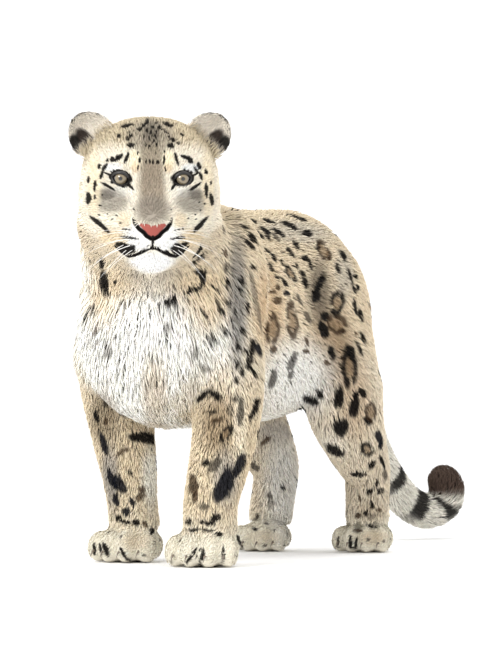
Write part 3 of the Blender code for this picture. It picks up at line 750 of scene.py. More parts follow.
@dataclass
class Ear:
    """A rounded cup on the head, its opening forwards."""

    side: Side
    base: Station = (0.081, 0.012, 0.084)
    lean: float = 42
    turn: float = 10
    height: float = 0.061
    half_width: float = 0.038
    cup: float = 0.022
    thickness: float = 0.0050
    root_share: float = -0.35
    grid: tuple[int, int] = (28, 32)

    def place(self, head: Head) -> Matrix:
        """The matrix from the ear's own axes to the model's.

        Args:
            head: The head.

        Returns:
            The matrix.
        """
        base = Vector((self.side.value * self.base[0], *self.base[1:]))
        lean = Matrix.Rotation(math.radians(self.side.value * self.lean), 4, "Y")
        turn = Matrix.Rotation(math.radians(self.side.value * self.turn), 4, "Z")
        return head.to_model() @ Matrix.Translation(base) @ lean @ turn

    def point(self, across: float, up: float, inner: bool) -> Vector:
        """A point of the outer or inner face, by shares across and up the ear.

        Args:
            across: From -1 to 1 across the ear.
            up: From the root at 0 to the tip at 1.
            inner: Whether it lies on the inner face.

        Returns:
            The point in the ear's axes.
        """
        low = max(up, 0.0)
        width = self.half_width * (0.86 + 0.14 * math.sin(math.pi * low))
        width *= math.sqrt(max(0.0, 1.0 - low**2.6))
        bowl = 0.35 + 0.65 * math.sin(math.pi * min(low, 0.9))
        depth = self.cup * (1 - across**2) * bowl
        thick = self.thickness * (1 - 0.6 * low) * (1 - 0.7 * across**2)
        return Vector((across * width, depth - (thick if inner else 0.0), self.height * up))

    def shell(self, head: Head) -> bpy.types.Object:
        """The closed cup, with its root inside the head.

        Args:
            head: The head.

        Returns:
            The cup, in the model's axes.
        """
        mould = Mould()
        columns, rows = self.grid
        sheets = []
        for inner in (False, True):
            sheet = []
            for row in range(rows + 1):
                up = self.root_share + (0.985 - self.root_share) * row / rows
                line = [
                    mould.bm.verts.new(self.point(-1 + 2 * c / columns, up, inner))
                    for c in range(columns + 1)
                ]
                sheet.append(line)
            for low, high in zip(sheet, sheet[1:]):
                for i in range(columns):
                    mould.bm.faces.new((low[i], low[i + 1], high[i + 1], high[i]))
            sheets.append(self._rim(sheet))
        outer, inner_rim = sheets
        for i, vert in enumerate(outer):
            j = (i + 1) % len(outer)
            mould.bm.faces.new((vert, outer[j], inner_rim[j], inner_rim[i]))
        bmesh.ops.transform(mould.bm, matrix=self.place(head), verts=mould.bm.verts)
        return mould.finished("ear")

    @staticmethod
    def _rim(sheet: list) -> list:
        """The points round a grid's edge, in order."""
        there = [line[0] for line in sheet[:-1]] + sheet[-1][:-1]
        return there + [line[-1] for line in reversed(sheet[1:])] + sheet[0][:0:-1]


@dataclass(frozen=True)
class Tuft:
    """One kind of tuft: its sizes, how dense the tufts stand and how they lie."""

    length: float
    width: float
    depth: float
    density: float
    hug: float = 1.0
    droop: float = 0.0
    stray: float = 9.0


TUFTS: dict[Zone, Tuft] = {
    Zone.FACE: Tuft(0.0085, 0.0014, 0.0022, 210000, stray=8),
    Zone.CROWN: Tuft(0.0140, 0.0019, 0.0040, 110000),
    Zone.CHEEK: Tuft(0.0240, 0.0022, 0.0070, 90000, hug=0.8),
    Zone.NECK: Tuft(0.0300, 0.0030, 0.0110, 56000, hug=0.9),
    Zone.BREAST: Tuft(0.0490, 0.0036, 0.0150, 48000, hug=0.7, droop=0.06, stray=11),
    Zone.FLANK: Tuft(0.0240, 0.0028, 0.0100, 58000),
    Zone.BELLY: Tuft(0.0520, 0.0036, 0.0150, 42000, hug=0.6, droop=0.10, stray=12),
    Zone.FORELEG: Tuft(0.0180, 0.0022, 0.0060, 80000),
    Zone.HINDLEG: Tuft(0.0210, 0.0024, 0.0070, 70000),
    Zone.PAW: Tuft(0.0090, 0.0016, 0.0026, 120000, stray=12),
    Zone.TAIL: Tuft(0.0300, 0.0026, 0.0110, 90000, hug=0.9, stray=12),
    Zone.EAR: Tuft(0.0090, 0.0013, 0.0012, 150000, stray=14),
}


class Form:
    """The animal's clay and the maps that tell where on it a point lies."""

    voxel: float = 0.0028
    easing = ((16, ""), (30, "body"))
    kept_share: float = 0.15
    floor_gap: float = 0.0015
    fineness = ((0.0026, False), (0.0012, True))

    def __init__(self) -> None:
        """Set up trunk, head and ears."""
        self.trunk = Trunk()
        self.head = Head()
        self.ears = tuple(Ear(side) for side in Side)

    def clay(self) -> bpy.types.Object:
        """One closed skin round all the clay, at the outside of the coat.

        Returns:
            The closed skin as an object.
        """
        mould = Mould()
        self.trunk.add_to(mould)
        self.head.add_to(mould)
        skin = mould.finished("skin")
        skin.data.transform(TO_MODEL)
        remesh = skin.modifiers.new("Fuse", "REMESH")
        remesh.mode = "VOXEL"
        remesh.voxel_size = self.voxel
        applied(skin)
        body = skin.vertex_groups.new(name="body")
        points = mesh_points(skin.data)
        share = 1 - self.head_share(points)
        for level in range(1, 5):
            rows = np.nonzero(np.round(share * 4) == level)[0]
            body.add(rows.tolist(), level / 4, "REPLACE")
        for rounds, group in self.easing:
            smooth = skin.modifiers.new("Ease", "SMOOTH")
            smooth.iterations = rounds
            smooth.vertex_group = group
        fewer = skin.modifiers.new("Fewer", "DECIMATE")
        fewer.ratio = self.kept_share
        fewer.vertex_group = "body"
        fewer.vertex_group_factor = 4.0
        applied(skin)
        skin.vertex_groups.clear()
        return skin

    def head_share(self, points: Array) -> Array:
        """How much each point belongs to the head, from 0 to 1.

        Args:
            points: Points in the model's axes.

        Returns:
            One share for each point.
        """
        local = self.head.local(points)
        size = np.linalg.norm(local / (0.130, 0.150, 0.145), axis=1)
        beyond = (points + MIDDLE - (0.037, -0.078, 0.560)) @ (0.291, -0.896, 0.336)
        return ramp(beyond, -0.022, 0.012) * ramp(size, 1.30, 1.12)

    def ear_share(self, points: Array) -> Array:
        """How much each point belongs to an ear, from 0 to 1.

        Args:
            points: Points in the model's axes.

        Returns:
            One share for each point.
        """
        best = np.zeros(len(points))
        for ear in self.ears:
            back = np.array(ear.place(self.head).inverted())
            own = points @ back[:3, :3].T + back[:3, 3]
            near = (np.abs(own[:, 0]) < 0.046) & (own[:, 1] > -0.014) & (own[:, 1] < 0.034)
            best = np.maximum(best, near * ramp(own[:, 2], 0.010, 0.016))
        return best

    def along_tail(self, points: Array) -> tuple[Array, Array, Array]:
        """Places along the tail.

        Args:
            points: Points in the model's axes.

        Returns:
            Length along the centre line, its direction there and the nearest point on it.
        """
        line = np.array([s[:3] for s in eased(self.trunk.tail)]) - MIDDLE
        best = np.full(len(points), 9.0)
        along, way, near = np.zeros(len(points)), np.zeros((len(points), 3)), np.zeros((len(points), 3))
        start = 0.0
        for a, b in zip(line, line[1:]):
            length = float(np.linalg.norm(b - a))
            share = np.clip((points - a) @ (b - a) / length**2, 0, 1)
            foot = a + share[:, None] * (b - a)
            gap = np.linalg.norm(points - foot, axis=1)
            closer = gap < best
            best = np.where(closer, gap, best)
            along = np.where(closer, start + share * length, along)
            way[closer] = (b - a) / length
            near[closer] = foot[closer]
            start += length
        return along, way, near

    def leg_share(self, points: Array, names: Sequence[str]) -> Array:
        """How much each point belongs to one of the named legs.

        Args:
            points: Points in the model's axes.
            names: The legs' names.

        Returns:
            One share for each point.
        """
        clay = points + MIDDLE
        best = np.zeros(len(points))
        for name in names:
            stations = np.array(eased(self.trunk.legs[name]))[::-1]
            centre = [np.interp(clay[:, 2], stations[:, 2], stations[:, k]) for k in range(5)]
            ratio = np.hypot((clay[:, 0] - centre[0]) / centre[3], (clay[:, 1] - centre[1]) / centre[4])
            best = np.maximum(best, ramp(ratio, 1.45, 1.15))
        best *= ramp(clay[:, 2], 0.40, 0.27)
        return np.maximum(best, ramp(clay[:, 2], 0.225, 0.195))

    def zones(self, points: Array, normals: Array) -> Array:
        """How much each point belongs to each zone.

        Args:
            points: Points in the model's axes.
            normals: The skin's normals there.

        Returns:
            One row for each point, with a share for each zone, which add up to one.
        """
        clay = points + MIDDLE
        _, y, z = clay.T
        local = self.head.local(points)
        left = np.ones(len(points))
        out = np.zeros((len(points), len(Zone)))

        def take(zone: Zone, share: Array) -> None:
            """Give the zone its share of what is left.

            Args:
                zone: The zone.
                share: How much of what is left it takes.
            """
            nonlocal left
            out[:, zone.value] += left * share
            left = left * (1 - share)

        take(Zone.EAR, self.ear_share(points))
        head = self.head_share(points)
        face = ramp(local[:, 1], 0.000, -0.034) * ramp(local[:, 2], 0.088, 0.066)
        crown = (1 - face) * ramp(local[:, 2], 0.030, 0.065)
        rest = left * head
        left = left * (1 - head)
        out[:, Zone.FACE.value] += rest * face
        out[:, Zone.CROWN.value] += rest * crown
        out[:, Zone.CHEEK.value] += rest * np.maximum(1 - face - crown, 0)
        take(Zone.TAIL, ramp(y, 0.655, 0.700))
        take(Zone.PAW, ramp(z, 0.088, 0.058))
        take(Zone.HINDLEG, ramp(y, 0.22, 0.26) * self.leg_share(points, ("hindleg_left", "hindleg_right")))
        take(Zone.FORELEG, ramp(y, 0.26, 0.22) * self.leg_share(points, ("foreleg_left", "foreleg_right")))
        beyond = (clay - (0.006, -0.030, 0.520)) @ (0.050, -0.621, 0.782)
        throat = ramp(normals[:, 1], -0.15, -0.6) * ramp(z, 0.60, 0.52)
        take(Zone.NECK, ramp(beyond, -0.075, -0.010) * (1 - throat))
        take(Zone.BREAST, ramp(y, 0.010, -0.050) * ramp(z, 0.60, 0.52))
        take(Zone.BELLY, ramp(z, 0.345, 0.285) * ramp(normals[:, 2], 0.05, -0.35))
        out[:, Zone.FLANK.value] += left
        return out

    def lie(self, points: Array, normals: Array, zones: Array) -> Array:
        """The way the hair lies at each point, before it is evened out.

        Args:
            points: Points in the model's axes.
            normals: The skin's normals there.
            zones: The points' shares of each zone.

        Returns:
            One vector for each point.
        """
        local = self.head.local(points)
        from_nose = unit(local - np.array((0.0, -0.100, -0.048)))
        head = from_nose * (1.0, 1.2, 1.0)
        cheek = from_nose * (0.7, 1.2, 0.6) + (0.0, 0.3, -0.55)
        side = np.sign(points[:, 0])
        zero, one = np.zeros(len(points)), np.ones(len(points))
        haunch = ramp(points[:, 1] + MIDDLE[1], 0.30, 0.55)
        shoulder = ramp(points[:, 1] + MIDDLE[1], 0.18, -0.02)
        slope = np.abs(normals[:, 0])
        ways = {
            Zone.FACE: self.head.directions(head),
            Zone.CROWN: self.head.directions(head + (0, 0.5, 0.1)),
            Zone.CHEEK: self.head.directions(cheek),
            Zone.NECK: np.stack((zero, 0.7 * one, -0.35 - 0.6 * slope), axis=1),
            Zone.BREAST: np.stack((0.25 * side * slope, 0.15 * one, -one), axis=1),
            Zone.FLANK: np.stack((zero, one, -slope * (0.35 + 0.7 * haunch + 0.8 * shoulder)), axis=1),
            Zone.BELLY: np.stack((zero, one, -0.35 * one), axis=1),
            Zone.FORELEG: np.stack((zero, 0.15 * one, -one), axis=1),
            Zone.HINDLEG: np.stack((zero, 0.30 * one, -one), axis=1),
            Zone.PAW: np.stack((zero, -0.9 * one, -0.35 * one), axis=1),
            Zone.TAIL: self.along_tail(points)[1],
            Zone.EAR: self._ear_lie(points),
        }
        return sum(zones[:, zone.value, None] * unit(way) for zone, way in ways.items())

    def _ear_lie(self, points: Array) -> Array:
        """Hair on an ear runs up to its tip.

        Args:
            points: Points in the model's axes.

        Returns:
            One direction for each point.
        """
        out = np.zeros((len(points), 3))
        for ear in self.ears:
            up = np.array(ear.place(self.head))[:3, 2]
            out[np.sign(points[:, 0] + MIDDLE[0] - 0.05) == ear.side.value] = up
        return out

    def skin(self) -> bpy.types.Object:
        """The finished skin: inside the clay by the coat's depth, with ears and a carved face.

        Returns:
            The skin as an object.
        """
        skin = self.clay()
        mesh = skin.data
        points, normals = mesh_points(mesh), mesh_normals(mesh)
        edges = mesh_edges(mesh)
        zones = self.zones(points, normals)
        depth = spread(zones @ np.array([TUFTS[zone].depth for zone in Zone]), edges, 25)
        inwards = unit(spread(normals, edges, 4))
        moved = points - inwards * depth[:, None]
        moved[:, 2] = np.maximum(moved[:, 2], self.floor_gap)
        move_points(mesh, moved)
        for ear in self.ears:
            self._unite(skin, ear.shell(self.head))
        mesh = skin.data
        self._refine(mesh)
        move_points(mesh, self.head.carve(mesh_points(mesh)))
        mesh.shade_smooth()
        LOG.info("skin: %d triangles", len(mesh_triangles(mesh)))
        return skin

    @staticmethod
    def _unite(skin: bpy.types.Object, other: bpy.types.Object) -> None:
        """Fuse another closed shape to the skin.

        Args:
            skin: The skin.
            other: The other shape, which goes.
        """
        union = skin.modifiers.new("Unite", "BOOLEAN")
        union.operation = "UNION"
        union.solver = "MANIFOLD"
        union.object = other
        applied(skin)
        bpy.data.objects.remove(other)

    def _refine(self, mesh: bpy.types.Mesh) -> None:
        """Divide the triangles of the face, and more finely those at the eyes, nose and lips.

        Args:
            mesh: The skin's mesh.
        """
        bm = bmesh.new()
        bm.from_mesh(mesh)
        bmesh.ops.triangulate(bm, faces=bm.faces)
        for length, only_fine in self.fineness:
            for _ in range(2):
                points = np.array([vert.co[:] for vert in bm.verts])
                local = self.head.local(points)
                wanted = local[:, 1] < -0.030
                if only_fine:
                    wanted &= self._fine(local)
                bm.verts.index_update()
                edges = [
                    edge
                    for edge in bm.edges
                    if wanted[edge.verts[0].index] and edge.calc_length() > length
                ]
                bmesh.ops.subdivide_edges(
                    bm, edges=edges, cuts=1, use_single_edge=True, use_grid_fill=True
                )
                bmesh.ops.triangulate(bm, faces=[f for f in bm.faces if len(f.verts) > 3])
        bm.to_mesh(mesh)
        bm.free()

    def _fine(self, local: Array) -> Array:
        """Whether points lie near an eye, the nose or the lips.

        Args:
            local: Points in the head's axes.

        Returns:
            Yes or no for each point.
        """
        near = self.head.line_distance(local, self.head.lip_line) < 0.006
        near |= self.head.nose_depth(local) > -0.005
        for side in Side:
            centre = self.head.eye_place(side).translation
            away = np.hypot(local[:, 0] - centre.x, local[:, 2] - centre.z)
            near |= away < self.head.eye_radius * 1.5
        return near


@dataclass(frozen=True)
class View:
    """The camera that sees the animal as the picture shows it."""

    azimuth: float = 27.0
    distance: float = 5.0
    shift_right: float = 0.135
    height: float = 0.25
    pixels_per_slope: float = 3000.0
    aim_u: float = 244.0
    aim_v: float = 415.0
    centre_v: float = 325.0
    photo_height: float = 650.0

    @property
    def right(self) -> Array:
        """The way that the photo's right points."""
        turn = math.radians(self.azimuth)
        return np.array((math.cos(turn), math.sin(turn), 0.0))

    @property
    def ahead(self) -> Array:
        """The level way that the camera looks."""
        turn = math.radians(self.azimuth)
        return np.array((-math.sin(turn), math.cos(turn), 0.0))

    @property
    def place(self) -> Array:
        """Where the camera stands, in the model's axes."""
        level = self.right * self.shift_right - self.ahead * self.distance
        return level + (0.0, 0.0, self.height) - MIDDLE

    def ray(self, u: float, v: float) -> tuple[Array, Array]:
        """The line of sight through a pixel of the photo: its start and its direction.

        Args:
            u: Pixels from the photo's left edge.
            v: Pixels from its top edge.

        Returns:
            The start and the direction.
        """
        slope_right = (u - self.aim_u) / self.pixels_per_slope
        slope_up = (self.aim_v - v) / self.pixels_per_slope
        way = self.ahead + self.right * slope_right + np.array((0.0, 0.0, slope_up))
        return self.place, unit(way)

    def add_camera(self) -> bpy.types.Object:
        """The scene's camera, at the photo's place.

        Returns:
            The camera.
        """
        data = bpy.data.cameras.new("camera")
        data.lens = self.pixels_per_slope / self.photo_height * 36.0
        data.sensor_width = 36.0
        data.clip_end = 60
        camera = bpy.data.objects.new("camera", data)
        bpy.context.scene.collection.objects.link(camera)
        pitch = math.atan((self.aim_v - self.centre_v) / self.pixels_per_slope)
        camera.location = self.place
        camera.rotation_euler = (math.pi / 2 + pitch, 0.0, math.radians(self.azimuth))
        bpy.context.scene.camera = camera
        return camera


VIEW = View()


class Tone(Enum):
    """A kind of mark: red, green and blue as on a screen, strength, and how hollow it is."""

    DARK = (24, 20, 18, 0.97, 0.0)
    BLUE = (32, 35, 46, 0.95, 0.0)
    WARM = (88, 66, 42, 0.85, 0.0)
    SOFT = (56, 50, 44, 0.75, 0.0)
    FAINT = (110, 103, 94, 0.55, 0.0)
    RING = (28, 23, 20, 0.96, 0.52)
    WARM_RING = (80, 58, 38, 0.85, 0.60)

    @property
    def colour(self) -> Array:
        """The mark's colour in linear light."""
        return linear(*self.value[:3])


@dataclass(frozen=True)
class Mark:
    """One mark of the coat: solid, or a broken ring with a tinted middle."""

    centre: Array
    along: Array
    across: Array
    half_long: float
    half_wide: float
    tone: Tone
    seed: float = 0.0

    def cover(self, points: Array) -> tuple[Array, Array]:
        """How far the mark covers points.

        Args:
            points: Points in the axes the mark is placed in.

        Returns:
            Shares of the dark colour, and of the tint inside a ring.
        """
        away = points - self.centre
        u, v = away @ self.along / self.half_long, away @ self.across / self.half_wide
        turn = np.arctan2(v, u)
        s, hollow = self.seed, self.tone.value[4]
        reach = 1 + 0.10 * np.sin(2 * turn + s) + 0.07 * np.sin(3 * turn + 2.3 * s)
        reach += 0.05 * np.sin(5 * turn + 4.1 * s)
        radius = np.hypot(u, v) / reach
        solid = ramp(radius, 1.16, 0.88)
        if hollow <= 0:
            return solid, np.zeros(len(points))
        middle = ramp(radius, hollow + 0.10, hollow - 0.14)
        gaps = ramp(np.sin(3 * turn + 5.0 * s) + 0.5 * np.sin(5 * turn + 3.0 * s), -1.35, -0.85)
        return (solid - np.minimum(middle, solid)) * gaps, middle


class Markings:
    """The coat's ground colours and its dark marks, with painted shade among its soft patches and marks.
    """

    tint = linear(168, 142, 108)
    ground = {
        Zone.FACE: linear(240, 232, 215),
        Zone.CROWN: linear(208, 194, 166),
        Zone.CHEEK: linear(250, 241, 222),
        Zone.NECK: linear(238, 223, 196),
        Zone.BREAST: linear(250, 248, 241),
        Zone.FLANK: linear(236, 220, 192),
        Zone.BELLY: linear(242, 239, 230),
        Zone.FORELEG: linear(234, 218, 188),
        Zone.HINDLEG: linear(236, 223, 200),
        Zone.PAW: linear(253, 246, 228),
        Zone.TAIL: linear(236, 232, 220),
        Zone.EAR: linear(246, 238, 224),
    }

    # Soft patches of the face in its front view, mirrored: sideways, height, half width, half
    # height in millimetres, colour and strength.
    patches = (
        (0, 96, 42, 34, linear(180, 170, 152), 0.85),
        (0, 96, 15, 32, linear(112, 104, 94), 0.65),
        (0, 56, 22, 34, linear(176, 164, 142), 0.85),
        (0, 15, 23, 50, linear(176, 162, 142), 0.95),
        (0, -22, 30, 25, linear(168, 158, 144), 0.9),
        (27, 58, 11, 17, linear(250, 240, 212), 0.95),
        (26, 44, 8, 8, linear(226, 200, 160), 0.5),
        (63, 45, 17, 8, linear(246, 246, 244), 0.9),
        (50, 6, 24, 9, linear(250, 247, 238), 0.95),
        (34, 2, 8, 18, linear(244, 238, 224), 0.8),
        (66, -8, 30, 22, linear(166, 159, 146), 0.75),
        (74, 2, 16, 9, linear(120, 113, 103), 0.6),
        (66, -40, 34, 14, linear(250, 244, 226), 0.8),
        (92, 20, 12, 60, linear(250, 236, 206), 0.7),
        (46, -40, 12, 14, linear(240, 214, 172), 0.35),
        (24, -64, 24, 18, linear(250, 249, 245), 0.95),
        (20, -78, 20, 13, linear(253, 252, 249), 0.95),
        (0, -108, 42, 18, linear(255, 254, 252), 0.98),
        (66, -74, 24, 22, linear(236, 216, 180), 0.8),
    )

    # Dark marks of the face in the same view: sideways, height, length, width in millimetres,
    # and turn in degrees. Negative places are on the animal's right.
    face = (
        (-38, 115, 21, 7, 10), (28, 117, 18, 8, -15), (-8, 118, 7, 5, 20), (3, 112, 6, 5, 0),
        (10, 120, 6, 4, 30), (-18, 109, 10, 5.5, 15), (18, 108, 5, 3.4, 0), (-36, 104, 4, 3.4, 0),
        (-36, 95, 15, 6, 35), (26, 103, 8, 4, -40), (33, 93, 14, 6, -30), (-33, 82, 13, 8, 10),
        (31, 82, 12, 9, -10), (-12, 96, 7, 3, 80), (7, 97, 7, 3, 95), (9, 104, 6, 3, 90),
        (-9, 82, 7, 3, 90), (-4, 80, 6, 3, 90), (8, 83, 7, 3, 85), (-9, 55, 9, 3, 92),
        (-3, 55, 8, 3, 90), (2, 55, 8, 3, 88), (10, 54, 6, 6, 0), (7, 69, 5, 2, 90),
        (-22, 69, 7, 3, 80), (-19, 57, 11, 4, 95), (-22, 45, 8, 3, 80), (21, 72, 6, 3, 100),
        (20, 58, 18, 3.4, 85), (22, 43, 8, 3, 100), (-40, 61, 19, 6, 70), (40, 60, 20, 5.5, 105),
        (-71, 57, 6, 5, 60), (-63, 58, 10, 8, 60), (-56, 60, 12, 6, 75), (-80, 34, 15, 5.5, 70),
        (62, 58, 15, 8, 130), (77, 49, 11, 8, 110), (80, 32, 15, 5, 105), (-84, 47, 8, 6, 80),
        (89, 40, 9, 5.5, 100), (-101, 26, 11, 5, 85), (-91, 16, 16.5, 5.5, 85),
        (-91, -2, 8, 3.4, 90), (-101, -4, 21, 8, 85), (97, 22, 8, 3.4, 95), (89, 10, 22, 7, 95),
        (98, -5, 20, 8, 95), (-70, 15, 24, 5, -32), (70, 15, 24, 5, 32),
        (-40, -86, 24, 17, 10), (40, -86, 24, 17, -10), (-49, -79, 20, 8, -14), (49, -79, 20, 8, 14),
        (-48, 26, 36, 21, -12), (48, 26, 36, 21, 12), (-69, 34, 15, 4, -24), (69, 34, 15, 4, 24),
        (-35, 15, 14, 5, -50), (35, 15, 14, 5, 50), (-18, -90, 20, 3, 24), (18, -90, 20, 3, -24),
        (0, -76, 16, 4, 90),
        (-38, -68, 27, 4.5, -8), (41, -68, 26, 4.5, 8), (-47, -54, 4, 3, 0),
        (-42, -54, 4, 3, 0), (-37, -55, 4, 3, 0), (36, -55, 4, 3, 0), (42, -54, 4, 3, 0),
        (49, -53, 4, 3, 0), (-83, -46, 38, 8, -42), (79, -46, 34, 8, 44), (-79, 1, 3, 3, 0),
        (-83, -16, 4, 3, 0), (-71, -30, 3, 3, 0), (-84, -31, 4, 3, 0), (-64, -38, 3, 3, 0),
        (-57, -32, 3, 3, 0), (-51, -44, 3, 3, 0), (77, -10, 3, 3, 0), (86, -12, 4, 3, 0),
        (79, -23, 3, 3, 0), (70, -30, 3, 3, 0), (59, -36, 3, 3, 0), (72, -37, 3, 3, 0),
        (-30, -22, 3, 3, 0), (30, -22, 3, 3, 0),
        (-5, 122, 9, 5, 90), (0, 104, 9, 4, 85), (-7, 106, 8, 4, 100), (-3, 94, 7, 3, 90),
        (14, 112, 8, 5, 60), (-12, 115, 7, 5, 120), (4, 89, 7, 3, 90), (-59, 40, 20, 4, 20),
        (59, 40, 20, 4, -20), (-52, 62, 16, 7, 30), (54, 62, 16, 7, -30), (-75, 46, 14, 6, 60),
        (72, 42, 14, 5, 120), (50, 100, 8, 5, -30), (-52, 97, 9, 6, 30), (44, 86, 7, 4, 0),
    )

    # Marks of the body where the photo shows them, by tone: pixels across and down, length and
    # width in millimetres as they look from there, and turn in degrees. A few strokes among them are
    # painted shade, noted where they stand.
    seen = {
        Tone.DARK: (
            (243.5, 214.5, 17, 6, -15), (252, 222.3, 18, 8, -5), (268.5, 221.7, 20, 8, -15),
            (292, 216.5, 20, 7, -5), (301, 219.5, 20, 7, -20), (245.5, 227.3, 11, 6, -30),
            (289, 225, 24, 10, -20), (294.5, 229, 9, 8, -40), (308, 233.5, 15, 14, 0),
            (258.5, 234, 24, 7, -45), (265.5, 231, 22, 7, -35), (268.5, 237, 13, 7, -80),
            (279, 232.8, 21, 9, -38), (253, 238.5, 20, 9, -50), (250, 244.5, 19, 8, -45),
            (258, 247.5, 18, 7, -60), (296, 244.8, 16, 9, -60), (290.5, 252.5, 19, 7, -57),
            (268, 251.5, 14, 5, -40), (274.5, 258.3, 13, 6.5, -65), (264.5, 265.5, 11, 5, -65),
            (271.5, 268, 15, 6.5, -60), (282.3, 262, 9, 5, -50), (297, 266.5, 9, 6, -80),
            (253.5, 267.5, 11, 6, -20), (305.5, 258.5, 12, 11, 0), (310.5, 265, 16, 6, -80),
            (303, 274, 12, 8, -45), (305.5, 283, 17, 10, -80), (318.5, 247, 15, 8, 75),
            (321.5, 281, 27, 12, 72), (316.5, 294, 32, 14, 72), (338, 268.5, 20, 8, -78),
            (343, 256, 22, 9, -58), (348, 255.5, 18, 6, -62), (350.5, 277, 28, 6, -75),
            (354.5, 290, 16, 6, -65), (356, 277, 9, 7, -80), (357.8, 288, 10, 7, -80),
            (355, 307, 28, 6, -80), (360.7, 315.5, 21, 8, -80), (285, 283, 17, 6, -52),
            (278, 278, 9, 5, -5), (325, 317, 16, 13, 0), (323.5, 330, 32, 14, -65),
            # Painted shade on the next line: the strokes at 252.5, 352 and 253.5, 372 are the dark crease
            # at the elbow.
            (341, 331, 12, 9, 0), (252.5, 352, 44, 7, 85), (253.5, 372, 22, 6, -55),
            (332, 353, 21, 11, -75), (351.5, 354, 23, 15, -80), (363.5, 339, 18, 8, -62),
            (360, 349, 24, 6, -68), (339, 398, 38, 15, 88), (354.5, 407, 38, 16, 85),
            (362.5, 393, 18, 12, -55), (356, 395, 14, 10, 60), (368, 421, 16, 12, -40),
            (341, 428, 28, 24, -40), (311, 401, 24, 14, -20), (320, 395, 16, 8, -65),
            (255, 410, 34, 9, 68), (385, 430, 46, 9, -72), (334.5, 451, 32, 15, -24),
            (372, 465, 17, 9, 58), (358.5, 475, 27, 8, -2), (377, 484, 11, 6, 80),
            (369.5, 492, 13, 9, 25), (380, 491.5, 11, 11, 0), (372, 505, 11, 7, -75),
            (365.5, 513.5, 9, 8, 0), (371, 526, 20, 4, -15), (382, 462, 24, 7, -68),
            (201.5, 253.5, 22, 9, -75), (197, 258, 14, 11, 0), (195, 263, 8, 5, -45),
            (201, 273.5, 19, 9, -8), (203.5, 281, 20, 7, 85), (193.5, 292, 18, 11, 20),
            (199, 289, 14, 6, 30), (243, 282, 15, 6, -85), (241, 291, 9, 5, -70),
            (228.5, 284, 14, 6, -55), (219, 292, 9, 7, -60), (229, 304, 10, 7, -75),
            (235, 312, 10, 6, -78), (222.5, 312.5, 10, 8, 0), (206, 316.5, 13, 7, -62),
            (232, 320, 7, 5, -60), (248.5, 308, 18, 5, -82), (226, 332, 15, 7, -70),
            (243.3, 332, 12, 8, -80), (233, 328, 9, 3, -70), (213.5, 339.5, 16, 9, -42),
            (211, 345.5, 9, 6, -30), (238, 348, 12, 7, -80), (247, 351, 7, 7, 0),
            (237.3, 365.5, 14, 6, 80), (248, 362, 24, 5, 88), (242.7, 372, 16, 5, 85),
            (236.5, 381, 10, 7, -60), (203, 396, 26, 9, 38), (213, 394.5, 18, 8, -50),
            (218, 397, 14, 9, -60), (212, 412, 12, 7, 10), (205.5, 463, 14, 8, 25),
            (216, 518, 13, 13, 0), (188.5, 522, 11, 8, 55), (207, 523, 20, 7, -3),
            (194, 530, 18, 5, 12), (207, 530, 22, 4, -5), (219, 534, 12, 7, -10),
            (190.5, 557, 32, 5, 57), (201.5, 558, 33, 5, 76), (197.5, 554, 18, 3, 64),
            (223, 555, 26, 5, 86), (239.7, 541.5, 26, 6, -68), (255.5, 529, 7, 5, 10),
            (101.5, 264, 18, 7, 80), (104, 284, 28, 15, 88), (107.5, 295.5, 17, 8, -30),
            (81.7, 285, 14, 6, 65), (79.5, 297.5, 13, 8, -80), (83, 302, 10, 7, -50),
            (76.3, 313, 27, 6, -80), (81, 313, 36, 6, -84), (87, 320.5, 20, 8, -72),
            (92, 311, 11, 7, -50), (80, 342, 22, 5, -80), (168.3, 305, 13, 8, 90),
            (175, 302.5, 19, 10, 90), (160, 306, 9, 4, 90), (96.3, 416.5, 20, 7, -75),
            (114, 396, 12, 4, 85), (145.5, 438.5, 44, 19, -8), (130.5, 472.5, 10, 5, -55),
            (118.5, 518, 12, 9, 60), (125, 522, 19, 6, -6), (136.5, 522.5, 11, 11, 0),
            (152.5, 530.5, 11, 6, -80), (157, 528.5, 8, 3, -85), (94.5, 549, 20, 5, 88),
            (100.5, 548.5, 18, 5, -80), (106, 549.5, 22, 8, -72), (123, 553, 18, 5, -62),
            (129, 560, 14, 5, -35), (337.7, 542, 20, 4, 85), (350, 542.5, 22, 7, 85),
            (355.5, 545, 24, 6, 85), (283.5, 488.5, 8, 7, 0), (261, 505, 8, 4, 80),
        ),
        Tone.BLUE: (
            # Painted shade on the next line: the blue-grey stroke at 259, 350 is shade beside the elbow
            # crease.
            (287, 294, 11, 9, 0), (259, 350, 20, 9, -75), (379, 438, 26, 12, -75),
            (380, 446, 12, 8, -70), (239.5, 466, 42, 14, 62), (224, 486, 56, 22, 62),
            (104, 444.5, 32, 11, -72), (112, 480, 36, 10, -70), (119.5, 485, 32, 17, -62),
            (116, 500, 20, 10, -68), (126, 512, 15, 12, -40), (133, 502.5, 13, 10, -55),
        ),
        Tone.WARM: (
            (264, 281, 12, 9, 60), (266, 287, 10, 8, 80), (273, 292, 11, 7, 0),
            (264.5, 297, 10, 8, 80), (278, 288, 9, 9, 0), (278, 301, 14, 11, 0),
            (328.5, 256, 18, 8, -75), (268, 330, 14, 6, 85), (274, 350, 11, 10, 0),
            (306.5, 352, 10, 7, 0), (307, 342, 16, 6, -75), (327, 363, 12, 7, -20),
            (356, 334, 7, 5, 0), (359.3, 498.8, 10, 5, -75), (358, 516, 11, 11, 0),
            (379, 510, 9, 7, 0), (216, 421, 20, 8, 15), (193, 485, 28, 15, -85),
            (195, 497, 20, 8, 82), (226, 254, 12, 7, -80), (106, 421.5, 12, 7, -80),
            (122, 413, 18, 8, -50), (122.5, 452, 20, 8, 25), (142, 490, 11, 10, 0),
            (141, 497, 16, 10, 15), (145.5, 524, 13, 7, -70), (95.5, 332, 12, 8, 60),
